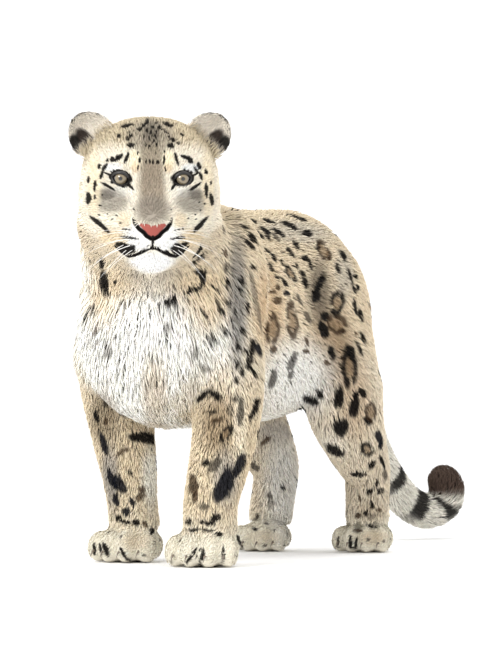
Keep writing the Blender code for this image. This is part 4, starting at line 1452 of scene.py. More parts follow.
            (194, 445, 18, 10, 45), (266, 441, 20, 9, 42), (357, 530, 14, 7, 0),
        ),
        Tone.SOFT: (
            (276.5, 238, 18, 7, -48), (265, 259, 7, 5, -50), (283, 253, 6, 4, -40),
            (299.5, 299.5, 20, 6, -68), (308, 318, 19, 9, -62), (291, 375, 14, 9, 70),
            (292.5, 362, 30, 12, 72), (273, 380, 33, 11, 72), (226.5, 268, 16, 6, 80),
            (218, 304, 8, 5, -60), (235, 399, 9, 10, 0), (241, 411, 42, 10, 88),
            (214.5, 465, 25, 14, 60), (204.5, 507, 15, 9, 12), (254.5, 466.5, 20, 11, -42),
            (269.5, 496, 12, 10, -60), (257, 517, 12, 5, 60), (266, 523, 8, 4, -10),
            (85.8, 269.5, 16, 6, 80), (104, 275, 12, 9, -60), (122.7, 305.5, 13, 10, -80),
            (132.7, 305.5, 8, 7, 0), (105.5, 404, 10, 7, -70), (114, 403, 16, 14, -60),
            (385, 475, 20, 6, -78), (174, 288, 8, 4, -60),
        ),
        Tone.FAINT: (
            (196, 354, 15, 14, 0), (205, 369, 22, 10, -8), (205, 343, 8, 3, 75),
            (231, 412, 18, 7, 85), (233.5, 271, 12, 6, -55), (271.5, 504.5, 15, 10, 50),
            (98, 342, 13, 6, 40), (107, 354, 22, 14, 40), (167, 327, 14, 12, 0),
            # Painted shade on the next line: the long stroke at 256, 300 is the shade line where shoulder
            # and flank meet.
            (233.5, 359, 6, 5, 0), (256, 300, 90, 8, -80), (372, 516, 12, 9, 0),
            (225.5, 450, 8, 4, 0), (180.5, 275, 13, 3, -60), (185, 301, 8, 4, 0),
        ),
        Tone.RING: (
            (258.5, 213.5, 21, 10, 0), (274, 214.5, 23, 12, 15), (291, 274, 34, 11, -60),
            (337.5, 303.5, 40, 25, 82), (329, 233.5, 38, 12, -50), (226, 434, 26, 16, 50),
            (367, 450, 24, 22, 0), (349.5, 368, 66, 26, 88),
        ),
        Tone.WARM_RING: (
            (324, 251, 36, 20, -60), (292.5, 321, 54, 20, -85), (337, 325, 36, 32, 0),
            (273, 330, 44, 22, 80), (371, 413, 34, 20, -75),
        ),
    }

    # Dark bands of the tail: pixels across and down of each band's middle, its length along
    # the tail in millimetres.
    bands = ((397, 480, 33), (417, 509, 34), (447, 508, 30))
    tail_brown = linear(88, 66, 54)
    # Painted shade in the hollow of each ear.
    ear_hollow_shade = linear(58, 44, 38)
    ear_rim = linear(238, 230, 216)
    tail_brown_from = (452, 493)

    # Each wash is a soft patch of ground colour, and some are painted shade: pixels across and down, half
    # width and half height in millimetres, colour and strength.
    washes_and_shade = (
        (110, 300, 50, 50, linear(238, 219, 186), 0.8),
        (205, 300, 50, 60, linear(234, 214, 180), 0.85),
        (150, 272, 44, 28, linear(206, 198, 184), 0.7),
        (150, 325, 80, 60, linear(254, 252, 247), 0.9),
        # Painted shade: the grey band where shoulder and flank meet.
        (238, 300, 17, 125, linear(146, 143, 140), 0.75),
        # Painted shade: tan shade down the bottom of the chest.
        (155, 392, 24, 60, linear(204, 184, 152), 0.55),
        (150, 428, 44, 10, linear(196, 176, 146), 0.5),
        (218, 425, 32, 56, linear(170, 146, 112), 0.75),
        (104, 420, 28, 50, linear(158, 142, 116), 0.75),
        (110, 478, 18, 60, linear(158, 156, 156), 0.65),
        (226, 478, 24, 50, linear(166, 163, 160), 0.6),
        (152, 478, 18, 56, linear(248, 245, 234), 0.9),
        (192, 450, 16, 70, linear(246, 242, 230), 0.8),
        (240, 430, 12, 60, linear(244, 234, 212), 0.7),
        (285, 485, 44, 120, linear(250, 247, 240), 0.95),
        (340, 470, 30, 60, linear(238, 233, 220), 0.8),
        (332, 350, 44, 84, linear(178, 150, 114), 0.75),
        (320, 292, 24, 66, linear(104, 92, 76), 0.7),
        (300, 232, 70, 26, linear(206, 200, 188), 0.6),
        (345, 275, 20, 50, linear(196, 190, 178), 0.6),
        (270, 310, 26, 80, linear(222, 192, 152), 0.7),
        (298, 380, 74, 74, linear(250, 248, 242), 0.95),
        (275, 432, 44, 20, linear(206, 200, 194), 0.6),
        (355, 400, 34, 80, linear(214, 186, 150), 0.5),
        (265, 537, 30, 14, linear(222, 206, 178), 0.4),
        (136, 541, 26, 16, linear(226, 208, 178), 0.5),
        (370, 512, 30, 20, linear(206, 188, 160), 0.6),
        (372, 537, 30, 14, linear(224, 206, 176), 0.6),
    )

    # How much larger than measured the body's marks are made, because hair hides their edges,
    # and how far the finished colours are drawn to grey and darkened.
    growth: float = 1.12
    greyness: float = 0.14
    contrast: float = 1.22
    grey_shares: tuple[float, float, float] = (0.21, 0.72, 0.07)

    # Shades of the ground: on the back, low on the flanks and under the jaw. Under the jaw the darker
    # colour stands for the neck's darker fur and also for painted shade under the jaw.
    back_shade = (linear(216, 201, 172), 0.6)
    low_shade = (linear(238, 232, 218), 0.7)
    jaw_shade = (linear(214, 197, 168), 0.7)
    jaw_slope: float = 0.8

    # The painted shade in the hollow of an ear and the black patch at its base, in the front view
    # of the head: outwards, height, half length and half width in millimetres.
    hollow_of_ear = (103, 91, 25, 12)
    hollow_way = (0.63, 0.78)
    patch_of_ear = (123, 77, 11, 26)

    # Marks scattered where the photo shows none: length, width and spacing in metres, and tone.
    scattered = {
        Zone.FLANK: (0.036, 0.020, 0.046, Tone.RING),
        Zone.NECK: (0.018, 0.010, 0.034, Tone.DARK),
        Zone.FORELEG: (0.022, 0.013, 0.036, Tone.DARK),
        Zone.HINDLEG: (0.022, 0.014, 0.036, Tone.DARK),
        Zone.PAW: (0.009, 0.006, 0.026, Tone.SOFT),
        Zone.CHEEK: (0.010, 0.006, 0.026, Tone.DARK),
        Zone.CROWN: (0.012, 0.006, 0.024, Tone.DARK),
    }
    tries: int = 40000

    def __init__(self, form: Form, skin: bpy.types.Object) -> None:
        """Place every mark on the skin.

        Args:
            form: The animal's form.
            skin: Its skin.
        """
        self.form = form
        self.tree = BVHTree.FromPolygons(
            [tuple(p) for p in mesh_points(skin.data)], mesh_triangles(skin.data).tolist()
        )
        self.random = np.random.default_rng(11)
        self.face_marks = [self._on_face(*row) for row in self.face]
        found = [self._on_body(*row, tone) for tone, rows in self.seen.items() for row in rows]
        self.seen_marks = [mark for mark in found if mark]
        self.other_marks: list[Mark] = []
        self._mirror()
        self._fill(skin.data)
        self.tail_marks = [(self._tail_place(u, v), long / 2000) for u, v, long in self.bands]
        self.brown_from = self._tail_place(*self.tail_brown_from)
        LOG.info("marks: %d seen, %d others", len(self.seen_marks), len(self.other_marks))

    def _seed(self) -> float:
        """A number that makes one mark's outline its own."""
        return float(self.random.uniform(0, 6))

    def _tail_place(self, u: float, v: float) -> float:
        """The length along the tail at which a line of sight meets it."""
        hit = self._sight(u, v)
        return float(self.form.along_tail(np.array([hit]))[0][0]) if hit is not None else 0.0

    def _sight(self, u: float, v: float) -> Array | None:
        """Where a line of sight through a pixel meets the skin.

        Args:
            u: Pixels from the photo's left edge.
            v: Pixels from its top edge.

        Returns:
            The point, or None where the line misses.
        """
        start, way = VIEW.ray(u, v)
        hit = self.tree.ray_cast(Vector(start), Vector(way))[0]
        return None if hit is None else np.array(hit)

    def _on_face(self, x: float, z: float, long: float, wide: float, turn: float) -> Mark:
        """A mark in the front view of the head.

        Args:
            x: Millimetres sideways in the front view.
            z: Millimetres up.
            long: Its length in millimetres.
            wide: Its width.
            turn: Degrees from level.

        Returns:
            The mark, flat in the head's axes.
        """
        angle = math.radians(turn)
        along = np.array((math.cos(angle), 0.0, math.sin(angle)))
        across = np.array((-math.sin(angle), 0.0, math.cos(angle)))
        centre = np.array((x, 0.0, z)) / 1000
        return Mark(centre, along, across, long / 2000, wide / 2000, Tone.DARK, self._seed())

    def _on_body(
        self, u: float, v: float, long: float, wide: float, turn: float, tone: Tone
    ) -> Mark | None:
        """A mark where a line of sight through a pixel meets the skin.

        Args:
            u: Pixels from the photo's left edge.
            v: Pixels from its top edge.
            long: The mark's length in millimetres.
            wide: Its width.
            turn: Degrees from level.
            tone: Its tone.

        Returns:
            The mark, or None where the line misses.
        """
        centre = self._sight(u, v)
        if centre is None:
            return None
        angle = math.radians(turn)
        right, up = VIEW.right, np.array((0.0, 0.0, 1.0))
        along = math.cos(angle) * right + math.sin(angle) * up
        across = math.cos(angle) * up - math.sin(angle) * right
        long, wide = self.growth * long / 2000, self.growth * wide / 2000
        return Mark(centre, along, across, long, wide, tone, self._seed())

    def _mirror(self) -> None:
        """Copy the trunk's marks, and the painted shade strokes among them, to its other side, a little
        changed.
        """
        for mark in self.seen_marks:
            place = mark.centre + MIDDLE
            if place[2] < 0.24 or place[1] < 0.02 or place[1] > 0.66 or place[0] < 0.02:
                continue
            shift = self.random.normal(0, 0.006, 3)
            wanted = mark.centre * (-1, 1, 1) + shift
            near, normal, _, _ = self.tree.find_nearest(Vector(wanted))
            normal = np.array(normal)
            flip = np.array((-1, 1, 1))
            along = unit(mark.along * flip - normal * (mark.along * flip @ normal))
            across = np.cross(normal, along)
            size = self.random.uniform(0.85, 1.15)
            long, wide = mark.half_long * size * 1.15, mark.half_wide * size * 1.15
            made = Mark(np.array(near), along, across, long, wide, mark.tone, self._seed())
            self.other_marks.append(made)

    def _fill(self, mesh: bpy.types.Mesh) -> None:
        """Scatter marks where the photo shows none, each zone with its own size and spacing.

        Args:
            mesh: The skin's mesh.
        """
        points, normals = mesh_points(mesh), mesh_normals(mesh)
        zones = self.form.zones(points, normals)
        lies = self.form.lie(points, normals, zones)
        taken = [mark.centre for mark in self.seen_marks + self.other_marks]
        seen = self.in_sight(points, normals)
        back_of_head = self.form.head.local(points)[:, 1] > 0.030
        main = zones.argmax(axis=1)
        for row in self.random.permutation(len(points))[: self.tries]:
            zone = Zone(int(main[row]))
            on_head = zone in (Zone.CHEEK, Zone.CROWN)
            if zone not in self.scattered or normals[row][2] < -0.7 or (on_head and not back_of_head[row]):
                continue
            long, wide, space, tone = self.scattered[zone]
            if seen[row] > 0.3 and not on_head and zone is not Zone.PAW:
                continue
            if np.min(np.linalg.norm(np.array(taken) - points[row], axis=1)) < space:
                continue
            along = unit(lies[row] - normals[row] * (lies[row] @ normals[row]))
            across = np.cross(normals[row], along)
            size = self.random.uniform(0.8, 1.2) / 2
            taken.append(points[row])
            self.other_marks.append(
                Mark(points[row], along, across, long * size, wide * size, tone, self._seed())
            )

    @staticmethod
    def in_sight(points: Array, normals: Array) -> Array:
        """How far each point faces the camera, from 0 to 1."""
        return ramp(-np.sum(unit(points - VIEW.place) * normals, axis=1), 0.02, 0.20)

    def colours(self, points: Array, normals: Array, zones: Array) -> Array:
        """The coat's colour at points, with painted shade from some soft patches and marks and under the
        jaw.

        Args:
            points: Points in the model's axes.
            normals: The skin's normals there.
            zones: The points' shares of each zone.

        Returns:
            Linear colours.
        """
        out = zones @ np.array([self.ground[zone] for zone in Zone])
        clay = points + MIDDLE
        torso = zones[:, Zone.FLANK.value] + zones[:, Zone.NECK.value]
        colour, strength = self.back_shade
        out = self.mixed(out, colour, strength * torso * ramp(normals[:, 2], 0.15, 0.85))
        low = zones[:, Zone.FLANK.value] * ramp(clay[:, 2], 0.40, 0.29)
        colour, strength = self.low_shade
        out = self.mixed(out, colour, strength * low)
        head = zones[:, [Zone.FACE.value, Zone.CROWN.value, Zone.CHEEK.value]].sum(axis=1)
        local = self.form.head.local(points)
        head = head * ramp(local[:, 2] - self.jaw_slope * np.abs(local[:, 0]), -0.146, -0.130)
        # Darker under the jaw: the neck's darker fur together with painted shade under the jaw.
        under = zones[:, Zone.CHEEK.value] + zones[:, Zone.FACE.value] - head
        colour, strength = self.jaw_shade
        out = self.mixed(out, colour, strength * under)
        seen = self.in_sight(points, normals) * (1 - head)
        for u, v, half_wide, half_high, colour, strength in self.washes_and_shade:
            centre = self._sight(u, v)
            if centre is None:
                continue
            away = points - centre
            reach = np.hypot(away @ VIEW.right * 1000 / half_wide, away[:, 2] * 1000 / half_high)
            near = ramp(np.abs(away @ VIEW.ahead), 0.30, 0.15)
            out = self.mixed(out, colour, strength * seen * near * ramp(reach, 1.35, 0.35))
        out = self._face(out, points, head)
        for mark in self.seen_marks:
            reach = np.linalg.norm(points - mark.centre, axis=1) < 0.03 + 1.7 * mark.half_long
            out = self._marked(out, points, mark, reach, seen)
        for mark in self.other_marks:
            reach = np.linalg.norm(points - mark.centre, axis=1) < 1.5 * mark.half_long
            out = self._marked(out, points, mark, reach, np.ones(len(points)))
        out = self._tail(self._ears(out, points, normals, zones), points, zones)
        grey = out @ np.array(self.grey_shares)
        return (out + self.greyness * (grey[:, None] - out)) ** self.contrast

    def _ears(self, out: Array, points: Array, normals: Array, zones: Array) -> Array:
        """Lay the ears' pale rims, painted shade in their hollows, and black backs and base patches over
        the colours.

        Args:
            out: The colours so far.
            points: The points they belong to.
            normals: The skin's normals there.
            zones: Each point's share in each zone.

        Returns:
            The colours with the ears on them.
        """
        share = zones[:, Zone.EAR.value]
        for ear in self.form.ears:
            place = np.array(ear.place(self.form.head))
            back = np.linalg.inv(place)
            own = points @ back[:3, :3].T + back[:3, 3]
            mine = share * (np.abs(own[:, 0]) < 0.05) * (np.abs(own[:, 1]) < 0.05)
            front = ramp(-normals @ place[:3, 1], -0.1, 0.2)
            view = self.form.head.local(points) * 1000
            outwards, height = view[:, 0] * ear.side.value, view[:, 2]
            place_out, place_up, half_long, half_wide = self.hollow_of_ear
            by, up = outwards - place_out, height - place_up
            slant_out, slant_up = self.hollow_way
            long, wide = slant_out * by + slant_up * up, slant_up * by - slant_out * up
            hollow = np.hypot(long / half_long, wide / half_wide)
            # Painted shade in the ear's hollow.
            out = self.mixed(out, self.ear_hollow_shade, 0.95 * mine * front * ramp(hollow, 1.2, 0.75))
            edge = np.maximum(np.abs(own[:, 0]) / ear.half_width, own[:, 2] / ear.height)
            pale = ramp(edge, 0.55, 0.8) * ramp(hollow, 0.9, 1.3)
            out = self.mixed(out, self.ear_rim, 0.8 * mine * front * pale)
            out = self.mixed(out, Tone.DARK.colour, 0.95 * mine * (1 - front))
            place_out, place_up, half_wide, half_high = self.patch_of_ear
            patch = np.hypot((outwards - place_out) / half_wide, (height - place_up) / half_high)
            out = self.mixed(out, Tone.DARK.colour, 0.95 * mine * ramp(patch, 1.1, 0.8))
        return out

    def _face(self, out: Array, points: Array, head: Array) -> Array:
        """The patches and marks of the face.

        Args:
            out: The colours so far.
            points: The points they belong to.
            head: How much each point belongs to the head.

        Returns:
            The colours with the face on them.
        """
        local = self.form.head.local(points)
        front = head * ramp(local[:, 1], 0.045, 0.010)
        flat = local * (1000.0, 0.0, 1000.0)
        for x, z, half_width, half_height, colour, strength in self.patches:
            reach = np.hypot((np.abs(flat[:, 0]) - x) / half_width, (flat[:, 2] - z) / half_height)
            out = self.mixed(out, colour, strength * front * ramp(reach, 1.25, 0.55))
        flat = local * (1.0, 0.0, 1.0)
        for mark in self.face_marks:
            out = self.mixed(out, mark.tone.colour, mark.cover(flat)[0] * front * 0.96)
        return out

    def _marked(self, out: Array, points: Array, mark: Mark, reach: Array, weight: Array) -> Array:
        """The colours with one mark laid over them.

        Args:
            out: The colours so far.
            points: The points they belong to.
            mark: The mark.
            reach: Which points it can reach.
            weight: How strongly it shows at each point.

        Returns:
            The same colours.
        """
        near = np.nonzero(reach & (weight > 0))[0]
        if len(near):
            cover, middle = mark.cover(points[near])
            colour, strength = mark.tone.colour, mark.tone.value[3]
            part = self.mixed(out[near], self.tint, 0.75 * middle * weight[near])
            out[near] = self.mixed(part, colour, strength * cover * weight[near])
        return out

    def _tail(self, out: Array, points: Array, zones: Array) -> Array:
        """Bands across the tail, and its dark end.

        Args:
            out: The colours so far.
            points: The points they belong to.
            zones: Each point's share in each zone.

        Returns:
            The colours with the tail on them.
        """
        along, _, near = self.form.along_tail(points)
        tail = zones[:, Zone.TAIL.value]
        above = ramp(unit(points - near) @ (0.3, -0.2, 0.93), -0.8, -0.1)
        wave = 0.005 * np.sin(points[:, 0] * 130 + along * 60)
        for place, half in self.tail_marks:
            band = ramp(np.abs(along + wave - place), half * 1.15, half * 0.8)
            out = self.mixed(out, Tone.DARK.colour, 0.93 * band * tail * (0.3 + 0.7 * above))
        brown = ramp(along, self.brown_from - 0.012, self.brown_from + 0.006)
        return self.mixed(out, self.tail_brown, 0.95 * tail * brown)

    @staticmethod
    def mixed(base: Array, colour: Array, share: Array) -> Array:
        """Each base colour mixed with another by its own share."""
        share = np.clip(share, 0, 1)[:, None]
        return base * (1 - share) + colour * share


class Shader:
    """Builds one node material."""

    def __init__(self, name: str) -> None:
        """Start a material with a plain shader in it.

        Args:
            name: The material's name.
        """
        self.material = bpy.data.materials.new(name)
        self.material.use_nodes = True
        self.tree = self.material.node_tree
        self.principled = self.tree.nodes["Principled BSDF"]

    def node(self, kind: str, **settings: object) -> bpy.types.Node:
        """A new node, with settings for its attributes and, by name, its inputs.

        Args:
            kind: The node's type.
            **settings: Values; a name ending in _in is an input, with _ for each space.

        Returns:
            The node.
        """
        made = self.tree.nodes.new(kind)
        for key, value in settings.items():
            if key.endswith("_in"):
                made.inputs[key[:-3].replace("_", " ")].default_value = value
            else:
                setattr(made, key, value)
        return made

    def join(self, source: bpy.types.NodeSocket, target: bpy.types.NodeSocket) -> None:
        """Link an output to an input."""
        self.tree.links.new(source, target)

    def set(self, **values: float) -> None:
        """Set inputs of the shader by name, with _ for each space."""
        for key, value in values.items():
            self.principled.inputs[key.replace("_", " ")].default_value = value

    def mixed(
        self, first: object, second: object, share: object, blend: str = "MIX"
    ) -> bpy.types.NodeSocket:
        """A colour mixed from two colours or outputs, by a share or an output.

        Args:
            first: A colour or an output.
            second: The other colour or output.
            share: How much of the second, or an output.
            blend: The way they are mixed.

        Returns:
            The output with the mixed colour.
        """
        mix = self.node("ShaderNodeMix", data_type="RGBA", blend_type=blend)
        for value, socket in ((share, mix.inputs[0]), (first, mix.inputs[6]), (second, mix.inputs[7])):
            if isinstance(value, bpy.types.NodeSocket):
                self.join(value, socket)
            elif isinstance(value, float):
                socket.default_value = value
            else:
                socket.default_value = (*value, 1.0)
        return mix.outputs[2]

    def noise(self, scale: float, detail: float = 2.0) -> bpy.types.Node:
        """Noise in the piece's own axes.

        Args:
            scale: How fine the noise is.
            detail: How many finer layers it has.

        Returns:
            The noise node.
        """
        coordinates = self.node("ShaderNodeTexCoord")
        noise = self.node("ShaderNodeTexNoise", Scale_in=scale, Detail_in=detail)
        self.join(coordinates.outputs["Object"], noise.inputs["Vector"])
        return noise

    def bump(self, height: bpy.types.NodeSocket, strength: float, distance: float) -> None:
        """Roughen the surface by a height.

        Args:
            height: The output that gives the height.
            strength: How strongly it shows.
            distance: How high it reaches, in metres.
        """
        bump = self.node("ShaderNodeBump", Strength_in=strength, Distance_in=distance)
        self.join(height, bump.inputs["Height"])
        self.join(bump.outputs["Normal"], self.principled.inputs["Normal"])


@dataclass(frozen=True)
class FurFinish:
    """Hair: its colour is held by the mesh, with fine variation and a soft sheen."""

    name: str = "fur"
    roughness: float = 0.85
    sheen: float = 0.01
    variation: float = 0.16
    grain: float = 420.0

    def material(self) -> bpy.types.Material:
        """The node material.

        Returns:
            The material.
        """
        shader = Shader(self.name)
        colour = shader.node("ShaderNodeVertexColor", layer_name="Col")
        noise = shader.noise(self.grain)
        dark = shader.mixed(colour.outputs["Color"], (0.62, 0.60, 0.57), self.variation, "MULTIPLY")
        final = shader.mixed(colour.outputs["Color"], dark, noise.outputs["Fac"])
        shader.join(final, shader.principled.inputs["Base Color"])
        shader.set(Roughness=self.roughness, Sheen_Weight=self.sheen, Sheen_Roughness=0.5)
        shader.set(Specular_IOR_Level=0.08)
        shader.bump(noise.outputs["Fac"], 0.35, 0.0006)
        return shader.material


@dataclass(frozen=True)
class EyeFinish:
    """An eyeball: grey-brown iris with a dark ring and streaks, a round pupil and a wet coat."""

    iris_radius: float = 0.0098
    pupil_radius: float = 0.0031
    pupil_rise: float = 0.0008

    def material(self) -> bpy.types.Material:
        """The node material, in the axes of an eye that faces -Y.

        Returns:
            The material.
        """
        shader = Shader("eye")
        place = shader.node("ShaderNodeTexCoord")
        lifted = shader.node("ShaderNodeVectorMath", operation="SUBTRACT")
        lifted.inputs[1].default_value = (0.0, 0.0, self.pupil_rise)
        flat = shader.node("ShaderNodeVectorMath", operation="MULTIPLY")
        flat.inputs[1].default_value = (1.0, 0.0, 1.0)
        reach = shader.node("ShaderNodeVectorMath", operation="LENGTH")
        shader.join(place.outputs["Object"], lifted.inputs[0])
        shader.join(lifted.outputs[0], flat.inputs[0])
        shader.join(flat.outputs[0], reach.inputs[0])
        streaks = shader.noise(900.0, 3.0)
        scale = shader.node("ShaderNodeMath", operation="DIVIDE")
        scale.inputs[1].default_value = self.iris_radius * 1.25
        shader.join(reach.outputs["Value"], scale.inputs[0])
        ramp_node = shader.node("ShaderNodeValToRGB")
        shader.join(scale.outputs[0], ramp_node.inputs["Fac"])
        edge = self.pupil_radius / (self.iris_radius * 1.25)
        stops = (
            (0.0, (0.004, 0.004, 0.004)),
            (edge * 0.92, (0.005, 0.005, 0.004)),
            (edge * 1.12, (0.16, 0.12, 0.06)),
            (0.45, (0.21, 0.165, 0.095)),
            (0.72, (0.17, 0.135, 0.085)),
            (0.79, (0.05, 0.042, 0.03)),
            (0.83, (0.008, 0.007, 0.006)),
        )
        elements = ramp_node.color_ramp.elements
        elements[0].position, elements[0].color = stops[0][0], (*stops[0][1], 1)
        elements[1].position, elements[1].color = stops[-1][0], (*stops[-1][1], 1)
        for position, colour in stops[1:-1]:
            stop = elements.new(position)
            stop.color = (*colour, 1)
        final = shader.mixed(ramp_node.outputs["Color"], streaks.outputs["Color"], 0.10, "OVERLAY")
        shader.join(final, shader.principled.inputs["Base Color"])
        shader.set(Roughness=0.12, Coat_Weight=1.0, Coat_Roughness=0.03)
        return shader.material


@dataclass(frozen=True)
class PlainFinish:
    """A finish of one kind of matter, mottled between two colours."""

    name: str
    light: tuple[float, float, float]
    dark: tuple[float, float, float]
    roughness: float
    grain: float = 300.0
    bumps: float = 0.1

    def material(self) -> bpy.types.Material:
        """The node material.

        Returns:
            The material.
        """
        shader = Shader(self.name)
        noise = shader.noise(self.grain)
        shader.join(
            shader.mixed(self.dark, self.light, noise.outputs["Fac"]),
            shader.principled.inputs["Base Color"],
        )
        shader.set(Roughness=self.roughness)
        shader.bump(noise.outputs["Fac"], self.bumps, 0.0005)
        return shader.material


LID_FINISH = PlainFinish("lid", (0.016, 0.013, 0.011), (0.004, 0.0035, 0.003), 0.35)
WHISKER_FINISH = PlainFinish("whisker", (0.92, 0.90, 0.86), (0.78, 0.75, 0.70), 0.4)
CLAW_FINISH = PlainFinish("claw", (0.30, 0.25, 0.20), (0.10, 0.08, 0.06), 0.3)
FLOOR_FINISH = PlainFinish("floor", (0.95, 0.95, 0.95), (0.92, 0.92, 0.92), 0.9, 3.0, 0.0)


class Coat:
    """Tapered tufts that stand on the skin and follow the lie of the hair."""

    rings = ((0.0, 0.60), (0.38, 1.00), (0.72, 0.74), (1.0, 0.0))
    piece_limit: int = 11500
    patch: float = 0.003
    skin_shade: float = 0.85
    variation: float = 0.07
    tinting: float = 0.012

    # For each of a tuft's ten points, from root to tip: how light it is, and which of the
    # tuft's three colours it takes.
    shade_of_point = (0.80, 0.86, 0.80, 0.94, 1.0, 0.94, 1.0, 1.04, 1.0, 1.06)
    colour_of_point = (0, 0, 0, 0, 0, 0, 1, 1, 1, 2)
    colour_places = (4, 7, 9)
    groups: dict[str, tuple[Zone, ...]] = {
        "head": (Zone.FACE, Zone.CROWN, Zone.CHEEK, Zone.EAR),
        "front": (Zone.NECK, Zone.BREAST),
        "trunk": (Zone.FLANK, Zone.BELLY),
        "legs": (Zone.FORELEG, Zone.HINDLEG, Zone.PAW),
        "tail": (Zone.TAIL,),
    }

    def __init__(self, form: Form, skin: bpy.types.Object, markings: Markings) -> None:
        """Work out the coat's fields over the skin.

        Args:
            form: The animal's form.
            skin: Its skin.
            markings: Its colours.
        """
        self.form, self.markings = form, markings
        mesh = skin.data
        self.random = np.random.default_rng(5)
        self.points, self.normals = mesh_points(mesh), mesh_normals(mesh)
        self.triangles, edges = mesh_triangles(mesh), mesh_edges(mesh)
        self.zones = spread(form.zones(self.points, self.normals), edges, 4)
        names = ("length", "width", "depth", "density", "hug", "droop", "stray")
        table = np.array([[getattr(TUFTS[zone], name) for name in names] for zone in Zone])
        self.sizes = spread(self.zones @ table, edges, 10)
        way = spread(form.lie(self.points, self.normals, self.zones), edges, 12)
        self.lies = unit(way - self.normals * np.sum(way * self.normals, axis=1, keepdims=True))
        local = form.head.local(self.points)
        soles = (self.points[:, 2] < 0.012) & (self.normals[:, 2] < -0.5)
        self.bare = np.maximum(form.head.bare(local), soles)

    def _roots(self, density: float) -> tuple[Array, Array]:
        """Places for tufts, as triangles and shares of their corners.

        Args:
            density: Tufts for each square metre.

        Returns:
            The triangles' rows, and three shares for each tuft.
        """
        corners = self.points[self.triangles]
        cross = np.cross(corners[:, 1] - corners[:, 0], corners[:, 2] - corners[:, 0])
        area = np.linalg.norm(cross, axis=1) / 2
        share = 1 - self.bare[self.triangles].mean(axis=1)
        wanted = area * self.sizes[:, 3][self.triangles].mean(axis=1) * share * density
        count = np.floor(wanted + self.random.random(len(wanted))).astype(int)
        rows = np.repeat(np.arange(len(count)), count)
        a, b = np.sqrt(self.random.random(len(rows))), self.random.random(len(rows))
        return rows, np.stack((1 - a, a * (1 - b), a * b), axis=1)

    def grow(self) -> list[bpy.types.Object]:
        """Make every piece of the coat.

        Returns:
            The pieces, each a mesh of closed tufts.
        """
        density = 1.0
        rows, shares = self._roots(density)
        corners = self.triangles[rows]

        def at(values: Array) -> Array:
            """The values at the roots."""
            return np.einsum("ij,ij...->i...", shares, values[corners])

        roots, normals, sizes = at(self.points), unit(at(self.normals)), at(self.sizes)
        zones, lies = at(self.zones), at(self.lies)
        widen = density**-0.4
        frames = self._frames(roots, normals, lies, sizes, widen)
        places = [0.65 * frames[:, k] + 0.35 * frames[:, 7] for k in self.colour_places]
        colours = np.stack([self.markings.colours(p, normals, zones) for p in places], axis=1)
        main = zones.argmax(axis=1)
        material = FurFinish().material()
        pieces = []
        for name, members in self.groups.items():
            chosen = np.nonzero(np.isin(main, [zone.value for zone in members]))[0]
            chosen = chosen[np.argsort(roots[chosen, 1], kind="stable")]
            parts = max(1, math.ceil(len(chosen) / self.piece_limit))
            for i, part in enumerate(np.array_split(chosen, parts)):
                rows = frames[part], colours[part], roots[part]
                piece = self._piece(f"coat_{name}_{i + 1}", *rows)
                piece.data.materials.append(material)
                pieces.append(piece)
        return pieces

    def _frames(
        self, roots: Array, normals: Array, lies: Array, sizes: Array, widen: float
    ) -> Array:
        """The points of every tuft.

        Args:
            roots: The tufts' roots.
            normals: The skin's normals there.
            lies: The lie of the hair there.
            sizes: Length, width, depth, density, hug, droop and stray at the roots.
            widen: How much wider than usual the tufts are.

        Returns:
            Ten points for each tuft.
        """
        count = len(roots)
        length, width, depth, _, hug, droop, stray = (column[:, None] for column in sizes.T)
        length = length * self.random.uniform(0.80, 1.18, (count, 1))
        width = width * self.random.uniform(0.8, 1.2, (count, 1)) * widen
        height = depth * self.random.uniform(0.70, 1.05, (count, 1))
        angle = np.radians(self.random.normal(0, 1, (count, 1)) * stray)
        lies = unit(lies - normals * np.sum(lies * normals, axis=1, keepdims=True))
        sideways = np.cross(normals, lies)
        lies = lies * np.cos(angle) + sideways * np.sin(angle)
        sideways = np.cross(lies, normals)
        bend = sideways * (length * self.random.normal(0, 0.07, (count, 1)))

        def line(share: float) -> Array:
            """The centre line at a share of its length, before it is drawn to the skin.

            Args:
                share: From the root at 0 to the tip at 1.

            Returns:
                One point for each tuft.
            """
            rise = height * (1 - (1 - share) ** 2) - 0.0015 * (1 - share)
            down = np.zeros((count, 3))
            down[:, 2:] = -droop * length * share**2
            return roots + lies * (length * share) + normals * rise + bend * share**2 + down

        halfway, end = line(0.5), line(1.0)
        first = hug * self._to_skin(halfway, height * 0.75)
        last = hug * self._to_skin(end, height)
        rings = []
        for share, breadth in self.rings:
            drawn = first * 4 * share * (1 - share) + last * share * (2 * share - 1)
            centre = line(share) + drawn
            half = width * breadth / 2
            if breadth == 0:
                rings.append(centre)
                continue
            aside = sideways * half
            rings += [centre - aside, centre + normals * half * 0.7, centre + aside]
        return np.stack(rings, axis=1)

    def _to_skin(self, points: Array, heights: Array) -> Array:
        """How far to move points so that they stand at these heights over the skin.

        Args:
            points: The points.
            heights: Each point's height over the skin.

        Returns:
            One step for each point.
        """
        find = self.markings.tree.find_nearest
        out = np.zeros_like(points)
        for i, point in enumerate(points):
            near, normal, _, _ = find(point)
            out[i] = near + normal * heights[i, 0] - Vector(point)
        return out

